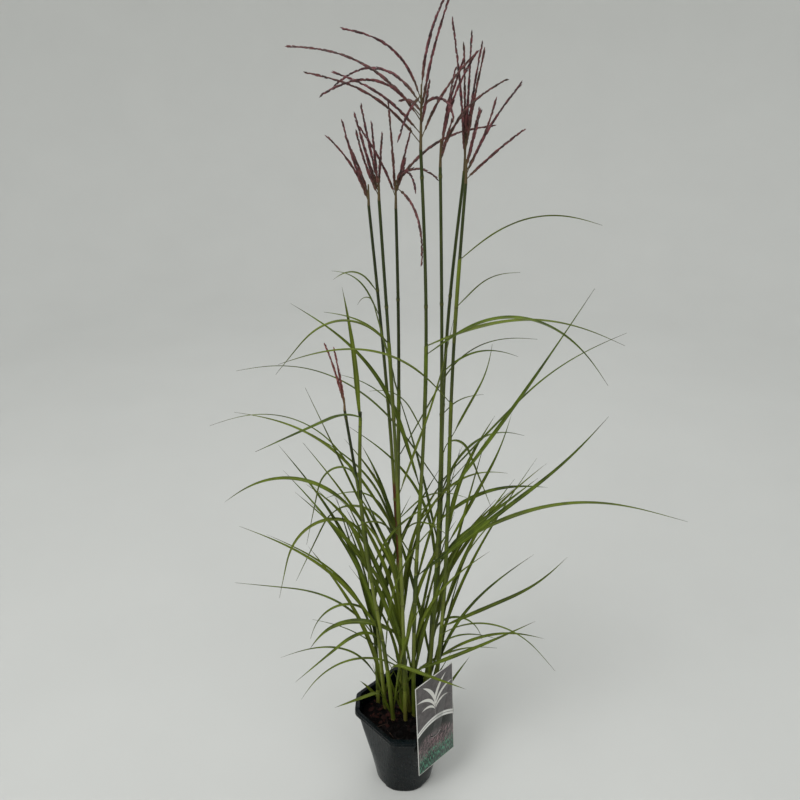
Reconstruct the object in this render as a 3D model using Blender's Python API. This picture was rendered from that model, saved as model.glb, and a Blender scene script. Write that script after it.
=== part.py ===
"""A potted clump of silver grass: nursery pot, potting mix, plant label, culms, plumes and leaves.

Metres, +Z up, the middle of the pot's base at the origin, the label on the front right face of the pot.
Sizes and tables below are in millimetres and MM turns them into metres.
"""

import math

import bmesh
import bpy
from mathutils import Matrix, Vector

MM = 0.001

# Pot: a square nursery pot with chamfered corners that turns round towards its base.
RIM_HEIGHT = 145.0
RIM_FLAT = 66.0          # axis to the long faces of the lip
RIM_CHAMFER = 76.0       # axis to the short faces of the lip
BODY_FLAT = 62.0         # the same two under the lip
BODY_CHAMFER = 70.5
LIP_DEPTH = 9.5
WALL = 1.5
BASE_RADIUS = 45.0
FLAT_SLOPE = 0.10        # how fast each kind of face closes in towards the base
CHAMFER_SLOPE = 0.19
CONE_SLOPE = 0.15
CONE_FLARE = 0.0005
CORNER_SOFTNESS = 1.2
EDGE_ROUND = 1.0
BASE_INSET = 1.5         # the base ring stands in from the wall above it
BASE_EDGE_HEIGHT = 2.0
WALL_LEVELS = (30.0, 70.0, 110.0)
CHAMFER_ANGLES = (6.4, 11.0, 14.0, 24.0)     # corners of the outline's mesh on one side of a chamfer
FACING_LEAST = 0.3       # cosine under which a face is turned too far away to bound the outline
FLOOR_THICKNESS = 4.2
DRAIN_COUNT = 3
DRAIN_FIRST_ANGLE = -30.0
DRAIN_WIDTH_ANGLE = 42.0
DRAIN_DEPTH = 2.5
DRAIN_INNER_RADIUS = 22.0
DRAIN_OUTER_RADIUS = 53.0
DRAIN_HOLE_RADIUS = 4.0
DRAIN_HOLE_DISTANCE = 32.0
DRAIN_HOLE_SIDES = 12
CUTTER_REACH = 3.0       # how far a cutter stands out of what it cuts

# Potting mix
SOIL_TOP = 119.0
SOIL_GAP = 0.8
SOIL_RELIEF = 1.4
SOIL_SHARES = (0.35, 0.7, 0.99)
SOIL_COARSE = (0.21, 0.19)      # the coarse bumps along x and y, in radians to the millimetre
SOIL_FINE = (0.13, 0.37)        # the finer bumps, in the same way
SOIL_FINE_SHARE = 0.6
SOIL_SHIFT = 1.0

# Label: a flat tag that hooks over the lip of the front right face
LABEL_FACING = -45.0
LABEL_DISTANCE = 67.6
LABEL_TILT = -3.4
LABEL_WIDTH = 77.0
LABEL_BOTTOM = 78.0
LABEL_TOP = 246.0
LABEL_THICKNESS = 0.8
LABEL_CORNER = 1.5
LABEL_CORNER_STEPS = 3
SLIT_WIDTH = 2.2
SLIT_RADIUS = 14.0
SLIT_HEIGHT = 146.0      # middle of the arc that the slit follows
SLIT_SHIFT = -1.0
SLIT_SPREAD = 92.0
SLIT_STEPS = 10

# Green parts
CULM_SIDES = 6
CULM_FOOT_RADIUS = 3.3
CULM_TOP_RADIUS = 1.8
CULM_TAPER = 0.7         # below 1 the culm thins faster near its foot
CULM_STEP = 75.0         # height between two rings of a culm
CULM_LEAST_RINGS = 6
CULM_FOOT = 120.0        # culms start just above the potting mix
NODE_SPACING = 150.0
NODE_SWELLING = 0.35
NODE_SHARPNESS = 6.0
RACEME_SIDES = 5
RACEME_RADIUS = 1.25
RACEME_STATIONS = 6
RACEME_STALK = 0.55      # share of the radius at the stalk, and how much the middle adds to it
RACEME_SWELL = 0.45
RACEME_SHORTER = 1.15    # the swelling ends this many times sooner than the raceme
RACEME_TIP_LOSS = 0.3
RACHIS_RADIUS = 1.5
RACHIS_SIDES = 6
RACHIS_GAP = 0.6         # between a culm's head and the rachis of its plume
ARCH_STEPS = 6           # steps of an arch between two of its points
BLADE_THICKNESS = 0.9
BLADE_STATIONS = 10
BLADE_CLEARANCE = 1.0
BLADE_FOLD = 0.35        # how much the blade's width leans from level
BLADE_SHEATH = 0.45      # share of the full width where the blade leaves the culm
BLADE_OPENING = 2.2      # how fast the blade widens from the sheath
BLADE_WIDEST = 0.3       # share of the length where it starts to narrow
BLADE_NARROWING = 1.7
BLADE_DRAWN_OUT = 1.6    # above 1 the narrowing comes late
BLADE_TIP = 0.06
BLADE_THINNING = 0.6     # share of its thickness that the blade loses by the tip

# Each culm and tiller: its foot (x, y), its head (x, y, height), how far its middle bows along x,
# and how far it swings along x, one way below the middle and the other way above it.
CULMS = {
    "culm_1": ((-5, 18), (-46, 60, 900), 10, 0),
    "culm_2": ((2, -8), (-30, -10, 920), 5, 0),
    "culm_3": ((8, 10), (-12, 20, 905), -8, -4),
    "culm_4": ((15, 0), (16, -10, 975), 6, -5),
    "culm_5": ((36, 14), (38, 0, 955), 10, 0),
    "culm_6": ((28, 28), (67, 35, 945), 2, 7),
    "culm_7": ((44, 6), (66, -15, 940), 3, 4),
    "culm_8": ((-31, 16), (-77, -6, 655), 6, 0),
    "tiller_1": ((-17, -10), (-55, -30, 665), -10, 5),
    "tiller_2": ((-42, 26), (-52, 37, 335), 2, 0),
}

# Each plume: the culm it crowns, the height of its rachis, and its racemes. A raceme leaves the rachis
# at a height above the culm's head, heads for a compass direction (0 is +X, 90 is +Y), has a length,
# and leans from upright by a number of degrees where it leaves and by another at its tip.
PLUMES = {
    "panicle_1": ("culm_1", 25, (
        (4, 175, 90, 20, 45), (8, 160, 95, 25, 15), (10, 195, 60, 15, 25), (6, 140, 80, 20, 35),
    )),
    "panicle_2": ("culm_2", 25, (
        (4, 205, 75, 25, 15), (8, 150, 65, 25, 15), (12, 185, 85, 20, 15),
        (17, 160, 85, 15, 12), (10, 240, 75, 12, 8), (11, 60, 60, 5, 10),
    )),
    "panicle_3": ("culm_3", 32, (
        (6, 150, 110, 4, 6), (12, 185, 90, 20, 35), (15, 10, 75, 12, 15), (21, -20, 65, 20, 125),
        (24, -60, 110, 100, 182), (28, 15, 135, 40, 85), (27, -55, 60, 25, 165), (19, 50, 40, 35, 15),
    )),
    "panicle_4": ("culm_4", 66, (
        (60, 15, 110, 5, 30), (38, -20, 120, 10, 20), (50, 185, 115, 20, 80), (34, 165, 172, 44, 88),
        (6, 195, 145, 40, 78), (16, 175, 115, 42, 72), (29, 205, 130, 35, 115), (46, 155, 125, 40, 125),
        (56, 220, 55, 130, 160), (41, -25, 55, 40, 170), (10, 5, 105, 22, 45), (24, -60, 50, 22, 18),
        (38, 130, 42, 50, 105),
    )),
    "panicle_5": ("culm_5", 30, (
        (8, -15, 105, 5, 20), (12, 40, 90, 8, 16), (16, -45, 115, 12, 38),
        (10, 5, 110, 20, 62), (4, -70, 60, 28, 38), (8, 70, 70, 15, 45),
    )),
    "panicle_6": ("culm_6", 35, (
        (6, 175, 155, 4, 10), (10, 120, 125, 3, 6), (26, 60, 120, 3, 3), (16, 20, 120, 5, 10),
        (20, -30, 110, 8, 12),
    )),
    "panicle_7": ("culm_7", 26, (
        (4, -25, 85, 45, 52), (9, -5, 110, 22, 38), (13, 15, 80, 30, 15), (17, -50, 65, 15, 15),
        (19, 45, 60, 20, 20),
    )),
    "panicle_8": ("culm_8", 18, ((5, 185, 90, 10, 18), (8, 150, 75, 8, 12))),
}

# Each leaf: its culm, the height where it leaves the culm, its compass direction, width and length,
# its lean from upright at the foot and at the tip, and the shares of its length where the bend between
# the two starts and ends. A share below 0 means that the blade is already bending as it leaves the culm.
LEAVES = {
    "leaf_right_01": ("culm_7", 535, -15, 8, 335, 30, 26, 0.0, 1.0),
    "leaf_right_02": ("culm_5", 545, 5, 6, 310, 40, 66, 0.4, 1.0),
    "leaf_right_03": ("culm_4", 745, 6, 7, 258, 68, 116, 0.0, 1.0),
    "leaf_right_04": ("culm_4", 735, -22, 7, 260, 50, 142, 0.1, 1.0),
    "leaf_right_05": ("culm_3", 580, 4, 7, 260, 27, 96, 0.4, 1.0),
    "leaf_right_06": ("culm_7", 620, -35, 5, 150, 25, 6, 0.5, 1.0),
    "leaf_right_07": ("culm_4", 395, -30, 8, 395, 39, 30, 0.6, 1.0),
    "leaf_right_08": ("culm_6", 405, 12, 8, 410, 54, 112, -0.1, 0.9),
    "leaf_right_09": ("culm_7", 300, -40, 6, 285, 44, 30, 0.5, 1.0),
    "leaf_right_10": ("culm_7", 285, -12, 5, 200, 45, 140, -0.1, 0.9),
    "leaf_right_11": ("culm_4", 215, -25, 6, 240, 49, 45, 0.0, 1.0),
    "leaf_right_12": ("culm_5", 218, 20, 5, 205, 55, 120, -0.2, 1.0),
    "leaf_right_13": ("culm_7", 450, 10, 5, 210, 25, 12, 0.5, 1.0),
    "leaf_right_14": ("culm_6", 515, 30, 6, 170, 24, 116, 0.0, 1.0),
    "leaf_right_15": ("culm_6", 575, -20, 6, 140, 10, 156, 0.0, 0.4),
    "leaf_right_16": ("culm_5", 400, -12, 7, 210, 20, 42, 0.0, 0.4),
    "leaf_right_17": ("culm_6", 335, -15, 6, 285, 19, 40, 0.0, 1.0),
    "leaf_right_18": ("culm_2", 535, -25, 8, 265, 18, 10, 0.3, 1.0),
    "leaf_left_01": ("culm_4", 545, 172, 7, 305, 16, 60, 0.2, 1.0),
    "leaf_left_02": ("culm_2", 750, 198, 7, 170, 42, 138, 0.0, 0.8),
    "leaf_left_03": ("culm_7", 670, 195, 7, 240, 38, 104, 0.0, 1.0),
    "leaf_left_04": ("culm_5", 540, 160, 6, 360, 37, 108, 0.1, 1.0),
    "leaf_left_05": ("culm_4", 420, 170, 7, 345, 31, 86, 0.3, 1.0),
    "leaf_left_06": ("culm_1", 390, 177, 4, 395, 22, 112, 0.35, 1.0),
    "leaf_left_07": ("tiller_1", 658, 190, 9, 138, 58, 112, -0.1, 0.3),
    "leaf_left_08": ("tiller_1", 655, 120, 7, 165, 4, 24, 0.0, 1.0),
    "leaf_left_09": ("culm_3", 675, 200, 8, 150, 14, 150, 0.8, 1.0),
    "leaf_left_10": ("tiller_1", 500, 175, 6, 220, 30, 130, -0.1, 1.0),
    "leaf_left_11": ("tiller_2", 325, 200, 7, 330, 2, 166, 0.2, 0.85),
    "leaf_left_12": ("tiller_1", 535, 205, 6, 190, 5, 166, 0.1, 0.6),
    "leaf_left_13": ("culm_1", 412, 164, 7, 290, 15, 156, 0.0, 0.6),
    "leaf_left_14": ("tiller_1", 305, 185, 7, 270, 26, 62, 0.0, 1.0),
    "leaf_left_15": ("tiller_2", 250, 170, 6, 245, 28, 92, -0.1, 0.7),
    "leaf_left_16": ("culm_1", 360, 200, 6, 350, 20, 20, 0.0, 1.0),
    "leaf_left_17": ("tiller_1", 285, 225, 6, 172, 30, 100, 0.0, 0.6),
    "leaf_left_18": ("culm_2", 285, 175, 10, 170, 50, 150, -0.1, 1.0),
    "leaf_low_left": ("culm_8", 142, 205, 6, 85, 20, 92, 0.0, 0.3),
    "leaf_low_right": ("tiller_1", 223, -36, 6, 150, 20, 78, 0.0, 0.3),
    "leaf_top_right": ("culm_7", 855, 10, 5, 180, 50, 108, 0.0, 1.0),
}


def look(name, colour, roughness, metallic=0.0):
    """A plain Principled material."""
    made = bpy.data.materials.new(name)
    made.use_nodes = True
    shader = made.node_tree.nodes["Principled BSDF"]
    shader.inputs["Base Color"].default_value = (*colour, 1.0)
    shader.inputs["Roughness"].default_value = roughness
    shader.inputs["Metallic"].default_value = metallic
    made.diffuse_color = (*colour, 1.0)
    return made


def add_object(name, corners, faces, material, smooth=True):
    """A mesh object from corners in millimetres, its faces turned outwards."""
    mesh = bpy.data.meshes.new(name)
    mesh.from_pydata([Vector(corner) * MM for corner in corners], [], faces)
    shape = bmesh.new()
    shape.from_mesh(mesh)
    bmesh.ops.recalc_face_normals(shape, faces=shape.faces)
    shape.to_mesh(mesh)
    shape.free()
    mesh.polygons.foreach_set("use_smooth", [smooth] * len(mesh.polygons))
    mesh.materials.append(material)
    made = bpy.data.objects.new(name, mesh)
    bpy.context.scene.collection.objects.link(made)
    return made


def cut(target, cutter, label):
    """Takes the cutter out of the target and leaves the cutter as a hidden helper."""
    cutter.hide_render = True
    cutter.display_type = "WIRE"
    step = target.modifiers.new(label, "BOOLEAN")
    step.operation = "DIFFERENCE"
    step.object = cutter


def join_with(target, other, label):
    """Adds the other shape to the target and leaves it as a hidden helper."""
    other.hide_render = True
    other.display_type = "WIRE"
    step = target.modifiers.new(label, "BOOLEAN")
    step.operation = "UNION"
    step.object = other


def culm_point(name, height):
    """The middle of a culm at a height: a straight line from foot to head, with its bow and swing."""
    foot, head, bow, swing = CULMS[name]
    share = (height - CULM_FOOT) / (head[2] - CULM_FOOT)
    wave = bow * math.sin(math.pi * share) + swing * math.sin(math.tau * share)
    return Vector((*foot, CULM_FOOT)).lerp(Vector(head), share) + Vector((wave, 0.0, 0.0))


def soft_step(share):
    """A smooth step from 0 to 1."""
    held = min(max(share, 0.0), 1.0)
    return held * held * (3.0 - 2.0 * held)


def arch(root, heading, length, rise, fall, bend_start, bend_end, count):
    """Points of a blade or raceme that leans by rise degrees at its root and by fall at its tip.

    It is straight up to the share of its length where the bend starts, and again after it ends.
    """
    turn = math.radians(heading)
    out = Vector((math.cos(turn), math.sin(turn), 0.0))
    steps = (count - 1) * ARCH_STEPS
    points, point = [root], root.copy()
    for i in range(steps):
        bent = soft_step(((i + 0.5) / steps - bend_start) / (bend_end - bend_start))
        lean = math.radians(rise + (fall - rise) * bent)
        point = point + (out * math.sin(lean) + Vector((0.0, 0.0, math.cos(lean)))) * (length / steps)
        if (i + 1) % ARCH_STEPS == 0:
            points.append(point)
    return points


def tube(path, radii, sides):
    """Corners and faces of a closed rod along a path."""
    corners, faces = [], []
    for i, point in enumerate(path):
        ahead = path[min(i + 1, len(path) - 1)] - path[max(i - 1, 0)]
        turn = ahead.to_track_quat("Z", "Y")
        for k in range(sides):
            angle = math.tau * k / sides
            offset = Vector((math.cos(angle), math.sin(angle), 0.0)) * radii[i]
            corners.append(point + turn @ offset)
    for i in range(len(path) - 1):
        for k in range(sides):
            a, b = i * sides + k, i * sides + (k + 1) % sides
            faces.append((a, b, b + sides, a + sides))
    faces.append(tuple(range(sides - 1, -1, -1)))
    faces.append(tuple(range(len(corners) - sides, len(corners))))
    return corners, faces


def pot_angles():
    """Angles round the pot, closer together where a long face meets a chamfer."""
    after = [90.0 - angle for angle in reversed(CHAMFER_ANGLES)]
    quarter = (0.0, *CHAMFER_ANGLES, 45.0, *after)
    return [math.radians(90.0 * side + angle) for side in range(4) for angle in quarter]


def soft_least(values, softness):
    """The least of the values, with the change from one to the next rounded off."""
    total = sum(math.exp(-value / softness) for value in values)
    return -softness * math.log(total)


def face_distance(angle, flat, chamfer):
    """Distance from the axis to an eight-sided outline with four long and four short sides."""
    reach = []
    for side in range(4):
        for middle, distance in ((math.pi / 4, flat), (0.0, chamfer)):
            lean = math.cos(angle - middle - side * math.pi / 2)
            if lean > FACING_LEAST:
                reach.append(distance / lean)
    return soft_least(reach, CORNER_SOFTNESS)


def body_distance(angle, height):
    """Distance from the axis to the outside of the pot's wall under the lip."""
    drop = RIM_HEIGHT - LIP_DEPTH - height
    flat = BODY_FLAT - FLAT_SLOPE * drop
    chamfer = BODY_CHAMFER - CHAMFER_SLOPE * drop
    cone = BASE_RADIUS + CONE_SLOPE * height + CONE_FLARE * height * height
    return soft_least((face_distance(angle, flat, chamfer), cone), CORNER_SOFTNESS)


def ring(distance_at, height):
    """One closed ring of corners round the pot."""
    return [
        Vector((distance_at(angle) * math.cos(angle), distance_at(angle) * math.sin(angle), height))
        for angle in pot_angles()
    ]


def skin(rings):
    """Corners and faces of a closed body whose first and last rings shrink to a point."""
    count = len(rings[0])
    corners = [corner for one in rings for corner in one]
    faces = []
    for i in range(len(rings) - 1):
        for k in range(count):
            a, b = i * count + k, i * count + (k + 1) % count
            faces += [(a, b, b + count), (a, b + count, a + count)]
    for first, height in ((0, rings[0][0].z), (len(rings) - 1, rings[-1][0].z)):
        centre = len(corners)
        corners.append(Vector((0.0, 0.0, height)))
        for k in range(count):
            faces.append((first * count + k, first * count + (k + 1) % count, centre))
    return corners, faces


def lip_ring(inset, height):
    """A ring of the lip's outline, brought in by the inset."""
    return ring(lambda angle: face_distance(angle, RIM_FLAT - inset, RIM_CHAMFER - inset), height)


def wall_ring(inset, height):
    """A ring of the wall's outline at its height, brought in by the inset."""
    return ring(lambda angle: body_distance(angle, height) - inset, height)


def build_pot(material):
    """The pot with its standing lip, drain channels and drain holes."""
    under_lip = RIM_HEIGHT - LIP_DEPTH
    rings = [
        ring(lambda angle: BASE_RADIUS - BASE_INSET, 0.0),
        wall_ring(0.0, BASE_EDGE_HEIGHT),
    ]
    rings += [wall_ring(0.0, height) for height in (*WALL_LEVELS, under_lip - EDGE_ROUND)]
    rings += [
        lip_ring(EDGE_ROUND, under_lip),
        lip_ring(0.0, under_lip + EDGE_ROUND),
        lip_ring(0.0, RIM_HEIGHT - EDGE_ROUND),
        lip_ring(EDGE_ROUND, RIM_HEIGHT),
        ring(lambda angle: body_distance(angle, under_lip) - WALL, RIM_HEIGHT),
    ]
    inner_levels = (FLOOR_THICKNESS, *WALL_LEVELS, under_lip - 2.0 * EDGE_ROUND)
    rings += [wall_ring(WALL, height) for height in reversed(inner_levels)]
    pot = add_object("pot", *skin(rings), material)
    for number in range(DRAIN_COUNT):
        middle = math.radians(DRAIN_FIRST_ANGLE + 360.0 / DRAIN_COUNT * number)
        cut(pot, drain_channel(number, middle), f"channel_{number + 1}")
        cut(pot, drain_hole(number, middle), f"hole_{number + 1}")


def level_arc(radius, first, last, steps):
    """Points on a level arc round the pot's axis, from one angle to another."""
    angles = [first + (last - first) * i / steps for i in range(steps + 1)]
    return [Vector((math.cos(angle), math.sin(angle), 0.0)) * radius for angle in angles]


def drain_channel(number, middle):
    """A shallow wedge that lifts the base edge between two feet."""
    half = math.radians(DRAIN_WIDTH_ANGLE) / 2
    outline = level_arc(DRAIN_OUTER_RADIUS, middle - half, middle + half, 4)
    outline += level_arc(DRAIN_INNER_RADIUS, middle + half, middle - half, 2)
    count = len(outline)
    corners = [point - Vector((0.0, 0.0, CUTTER_REACH)) for point in outline]
    corners += [point + Vector((0.0, 0.0, DRAIN_DEPTH)) for point in outline]
    faces = [(k, (k + 1) % count, count + (k + 1) % count, count + k) for k in range(count)]
    faces += [tuple(range(count)), tuple(range(2 * count - 1, count - 1, -1))]
    name = f"cutter_channel_{number + 1}"
    return add_object(name, corners, faces, bpy.data.materials["pot_plastic"])


def drain_hole(number, middle):
    """A round hole through the floor of a drain channel."""
    x, y = math.cos(middle) * DRAIN_HOLE_DISTANCE, math.sin(middle) * DRAIN_HOLE_DISTANCE
    path = [Vector((x, y, -CUTTER_REACH)), Vector((x, y, FLOOR_THICKNESS + CUTTER_REACH))]
    corners, faces = tube(path, (DRAIN_HOLE_RADIUS, DRAIN_HOLE_RADIUS), DRAIN_HOLE_SIDES)
    return add_object(f"cutter_hole_{number + 1}", corners, faces, bpy.data.materials["pot_plastic"])


def soil_height(x, y):
    """The uneven top of the potting mix."""
    coarse = math.sin(SOIL_COARSE[0] * x + SOIL_SHIFT) * math.cos(SOIL_COARSE[1] * y)
    fine = math.sin(SOIL_FINE[0] * x + SOIL_FINE[1] * y)
    return SOIL_TOP - SOIL_RELIEF + SOIL_RELIEF / 2 * (coarse + SOIL_FINE_SHARE * fine)


def build_soil(material):
    """The potting mix, a hair clear of the pot's wall."""
    inset = WALL + SOIL_GAP
    rings = []
    for share in SOIL_SHARES:
        top = [corner * share for corner in wall_ring(inset, WALL_LEVELS[-1])]
        for corner in top:
            corner.z = soil_height(corner.x, corner.y)
        rings.append(top)
    for height in (*reversed(WALL_LEVELS), FLOOR_THICKNESS + SOIL_GAP):
        rings.append(wall_ring(inset, height))
    corners, faces = skin(rings)
    corners[-2].z = soil_height(0.0, 0.0)
    add_object("potting_mix", corners, faces, material)


def build_label(material):
    """The tag, with the curved slit that hooks it on the lip."""
    facing = math.radians(LABEL_FACING)
    height = (LABEL_TOP - LABEL_BOTTOM) / math.cos(math.radians(LABEL_TILT))
    shape = bmesh.new()
    bmesh.ops.create_cube(shape, size=1.0)
    size = Vector((LABEL_THICKNESS, LABEL_WIDTH, height)) * MM
    bmesh.ops.scale(shape, vec=size, verts=shape.verts)
    across = [edge for edge in shape.edges if edge.verts[0].co.x * edge.verts[1].co.x < 0.0]
    bmesh.ops.bevel(
        shape, geom=across, offset=LABEL_CORNER * MM, segments=LABEL_CORNER_STEPS, profile=0.5, affect="EDGES"
    )
    mesh = bpy.data.meshes.new("plant_label")
    shape.to_mesh(mesh)
    shape.free()
    mesh.materials.append(material)
    label = bpy.data.objects.new("plant_label", mesh)
    bpy.context.scene.collection.objects.link(label)
    middle = (LABEL_TOP + LABEL_BOTTOM) / 2
    lean = math.radians(LABEL_TILT)
    out = LABEL_DISTANCE + math.tan(lean) * (middle - RIM_HEIGHT)
    label.matrix_world = (
        Matrix.Rotation(facing, 4, "Z")
        @ Matrix.Translation(Vector((out, 0.0, middle)) * MM)
        @ Matrix.Rotation(lean, 4, "Y")
    )
    slit = slit_cutter(material)
    slit.matrix_world = label.matrix_world @ Matrix.Translation(
        Vector((0.0, SLIT_SHIFT, SLIT_HEIGHT - middle)) * MM
    )
    cut(label, slit, "hook_slit")


def slit_cutter(material):
    """A thin curved strip, open side up, under the tongue that hooks on the lip."""
    half = math.radians(SLIT_SPREAD) / 2
    corners = []
    for i in range(SLIT_STEPS + 1):
        angle = -half + 2 * half * i / SLIT_STEPS
        for radius in (SLIT_RADIUS - SLIT_WIDTH / 2, SLIT_RADIUS + SLIT_WIDTH / 2):
            for depth in (-CUTTER_REACH, CUTTER_REACH):
                corners.append(Vector((depth, math.sin(angle) * radius, -math.cos(angle) * radius)))
    last = 4 * SLIT_STEPS
    faces = [(0, 1, 3, 2), (last, last + 1, last + 3, last + 2)]
    for i in range(SLIT_STEPS):
        a, b = 4 * i, 4 * i + 4
        for first, second in ((0, 1), (1, 3), (3, 2), (2, 0)):
            faces.append((a + first, a + second, b + second, b + first))
    return add_object("cutter_slit", corners, faces, material)


def culm_radius(share, height):
    """Radius of a culm, swelling a little at each of its nodes."""
    plain = CULM_FOOT_RADIUS + (CULM_TOP_RADIUS - CULM_FOOT_RADIUS) * share**CULM_TAPER
    to_node = abs((height - SOIL_TOP) / NODE_SPACING % 1.0 - 0.5) * 2
    return plain + NODE_SWELLING * max(0.0, 1.0 - to_node * NODE_SHARPNESS)


def build_culms(material):
    """The upright stems and the two leafy tillers."""
    for name, (_, head, _, _) in CULMS.items():
        count = max(CULM_LEAST_RINGS, int((head[2] - CULM_FOOT) / CULM_STEP) + 1)
        heights = [CULM_FOOT + (head[2] - CULM_FOOT) * i / (count - 1) for i in range(count)]
        path = [culm_point(name, height) for height in heights]
        radii = [culm_radius(i / (count - 1), heights[i]) for i in range(count)]
        add_object(name, *tube(path, radii, CULM_SIDES), material)


def raceme_radius(share):
    """Thin stalk, fuller middle, fine tip."""
    swelling = RACEME_SWELL * math.sin(math.pi * min(1.0, share * RACEME_SHORTER))
    return RACEME_RADIUS * (RACEME_STALK + swelling - RACEME_TIP_LOSS * share**3)


def build_plumes(material, young_material):
    """Each plume is one body: a short rachis with its racemes joined on."""
    for name, (culm, rachis_length, racemes) in PLUMES.items():
        foot = Vector(CULMS[culm][1]) + Vector((0.0, 0.0, RACHIS_GAP))
        top = foot + Vector((0.0, 0.0, rachis_length))
        kind = young_material if name == "panicle_8" else material
        plume = add_object(name, *tube([foot, top], [RACHIS_RADIUS] * 2, RACHIS_SIDES), kind)
        for number, (above, heading, length, rise, fall) in enumerate(racemes):
            root = foot + Vector((0.0, 0.0, above))
            path = arch(root, heading, length, rise, fall, 0.0, 1.0, RACEME_STATIONS)
            sizes = [raceme_radius(i / (RACEME_STATIONS - 1)) for i in range(RACEME_STATIONS)]
            branch = add_object(f"{name}_raceme_{number + 1}", *tube(path, sizes, RACEME_SIDES), kind)
            join_with(plume, branch, f"raceme_{number + 1}")


def blade_width(share):
    """Share of the full width: narrow at the sheath, widest before the middle, drawn out to the tip."""
    grown = min(1.0, BLADE_SHEATH + share * BLADE_OPENING)
    narrowed = 1.0 - BLADE_NARROWING * max(0.0, share - BLADE_WIDEST) ** BLADE_DRAWN_OUT
    return grown * max(BLADE_TIP, narrowed)


def build_leaves(material):
    """The long blades: thin lozenge sections along an arch, tilted a little at the midrib."""
    for name, (culm, height, heading, width, *shape) in LEAVES.items():
        turn = math.radians(heading)
        out = Vector((math.cos(turn), math.sin(turn), 0.0))
        side = Vector((-math.sin(turn), math.cos(turn), 0.0))
        root = culm_point(culm, height) + out * (CULM_FOOT_RADIUS + BLADE_CLEARANCE)
        path = arch(root, heading, *shape, BLADE_STATIONS)
        corners, faces = [], []
        for i, point in enumerate(path):
            share = i / (BLADE_STATIONS - 1)
            ahead = (path[min(i + 1, BLADE_STATIONS - 1)] - path[max(i - 1, 0)]).normalized()
            across = (side + Vector((0, 0, BLADE_FOLD))).cross(ahead).cross(ahead).normalized()
            above = ahead.cross(across).normalized()
            half = width / 2 * blade_width(share)
            thick = BLADE_THICKNESS / 2 * (1.0 - BLADE_THINNING * share)
            corners += [point + across * half, point + above * thick]
            corners += [point - across * half, point - above * thick]
        for i in range(BLADE_STATIONS - 1):
            for k in range(4):
                a, b = 4 * i + k, 4 * i + (k + 1) % 4
                faces.append((a, b, b + 4, a + 4))
        last = 4 * (BLADE_STATIONS - 1)
        faces += [(3, 2, 1, 0), (last, last + 1, last + 2, last + 3)]
        add_object(name, corners, faces, material)


def main():
    """Clears the start-up objects and builds every part."""
    for old in list(bpy.data.objects):
        bpy.data.objects.remove(old, do_unlink=True)
    build_pot(look("pot_plastic", (0.034, 0.043, 0.043), 0.38))
    build_soil(look("bark_and_peat", (0.022, 0.014, 0.011), 0.95))
    build_label(look("printed_plastic", (0.16, 0.15, 0.15), 0.45))
    build_culms(look("culm_green", (0.075, 0.12, 0.022), 0.5))
    build_leaves(look("leaf_green", (0.07, 0.13, 0.018), 0.5))
    build_plumes(
        look("plume_purple", (0.055, 0.022, 0.024), 0.75),
        look("young_plume_pink", (0.12, 0.05, 0.05), 0.75),
    )


main()
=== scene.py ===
import math
import random

import bmesh
import bpy
from mathutils import Matrix, Vector, noise


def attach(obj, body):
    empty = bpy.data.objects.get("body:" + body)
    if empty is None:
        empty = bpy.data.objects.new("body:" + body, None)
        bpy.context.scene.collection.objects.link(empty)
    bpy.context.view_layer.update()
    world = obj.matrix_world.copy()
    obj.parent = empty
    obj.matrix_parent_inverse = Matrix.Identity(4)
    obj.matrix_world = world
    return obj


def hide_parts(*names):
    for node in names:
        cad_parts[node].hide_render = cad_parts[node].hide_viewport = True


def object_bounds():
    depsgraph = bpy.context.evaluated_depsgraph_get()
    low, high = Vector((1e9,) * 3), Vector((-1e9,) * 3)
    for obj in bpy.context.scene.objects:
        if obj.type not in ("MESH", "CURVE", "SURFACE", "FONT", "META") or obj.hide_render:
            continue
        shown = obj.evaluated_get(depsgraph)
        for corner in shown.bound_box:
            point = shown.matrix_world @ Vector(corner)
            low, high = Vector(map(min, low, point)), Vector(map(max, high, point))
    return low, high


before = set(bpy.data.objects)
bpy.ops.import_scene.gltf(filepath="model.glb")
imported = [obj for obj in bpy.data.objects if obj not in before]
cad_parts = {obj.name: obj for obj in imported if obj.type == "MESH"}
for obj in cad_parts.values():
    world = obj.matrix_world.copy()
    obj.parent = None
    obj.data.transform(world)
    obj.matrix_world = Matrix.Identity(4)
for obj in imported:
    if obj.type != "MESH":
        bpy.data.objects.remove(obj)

# The looks of a potted clump of silver grass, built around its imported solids.
# Sizes and tables are in millimetres, as in the construction, and MM turns them into metres.
MM = 0.001
CAD_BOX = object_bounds()

# Pot: the same outline as its solid, with finer rings
RIM_HEIGHT = 145.0
RIM_FLAT = 66.0  # axis to the long faces of the lip
RIM_CHAMFER = 76.0  # axis to the short faces of the lip
BODY_FLAT = 62.0  # the same two under the lip
BODY_CHAMFER = 70.5
LIP_DEPTH = 9.5
LIP_GROOVE = 5.2  # height of the line round the lip, over the lip's lower edge
WALL = 1.5
BASE_RADIUS = 45.0
FLAT_SLOPE = 0.10
CHAMFER_SLOPE = 0.19
CONE_SLOPE = 0.15
CONE_FLARE = 0.0005
CORNER_SOFTNESS = 1.2
FACING_LEAST = 0.3  # cosine under which a face is turned too far away to bound the outline
BASE_INSET = 1.5
FLOOR_THICKNESS = 4.2
DRAIN_COUNT = 3
DRAIN_FIRST_ANGLE = -30.0
DRAIN_WIDTH_ANGLE = 42.0
DRAIN_DEPTH = 2.5
DRAIN_INNER_RADIUS = 22.0
DRAIN_HOLE_RADIUS = 4.0
DRAIN_HOLE_DISTANCE = 32.0
DRAIN_HOLE_SIDES = 28
DRAIN_CUT = (-4.0, 9.0)  # heights between which the drain holes are cut
DRAIN_EDGE = 2.2  # degrees over which the base edge lifts at a channel
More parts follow.
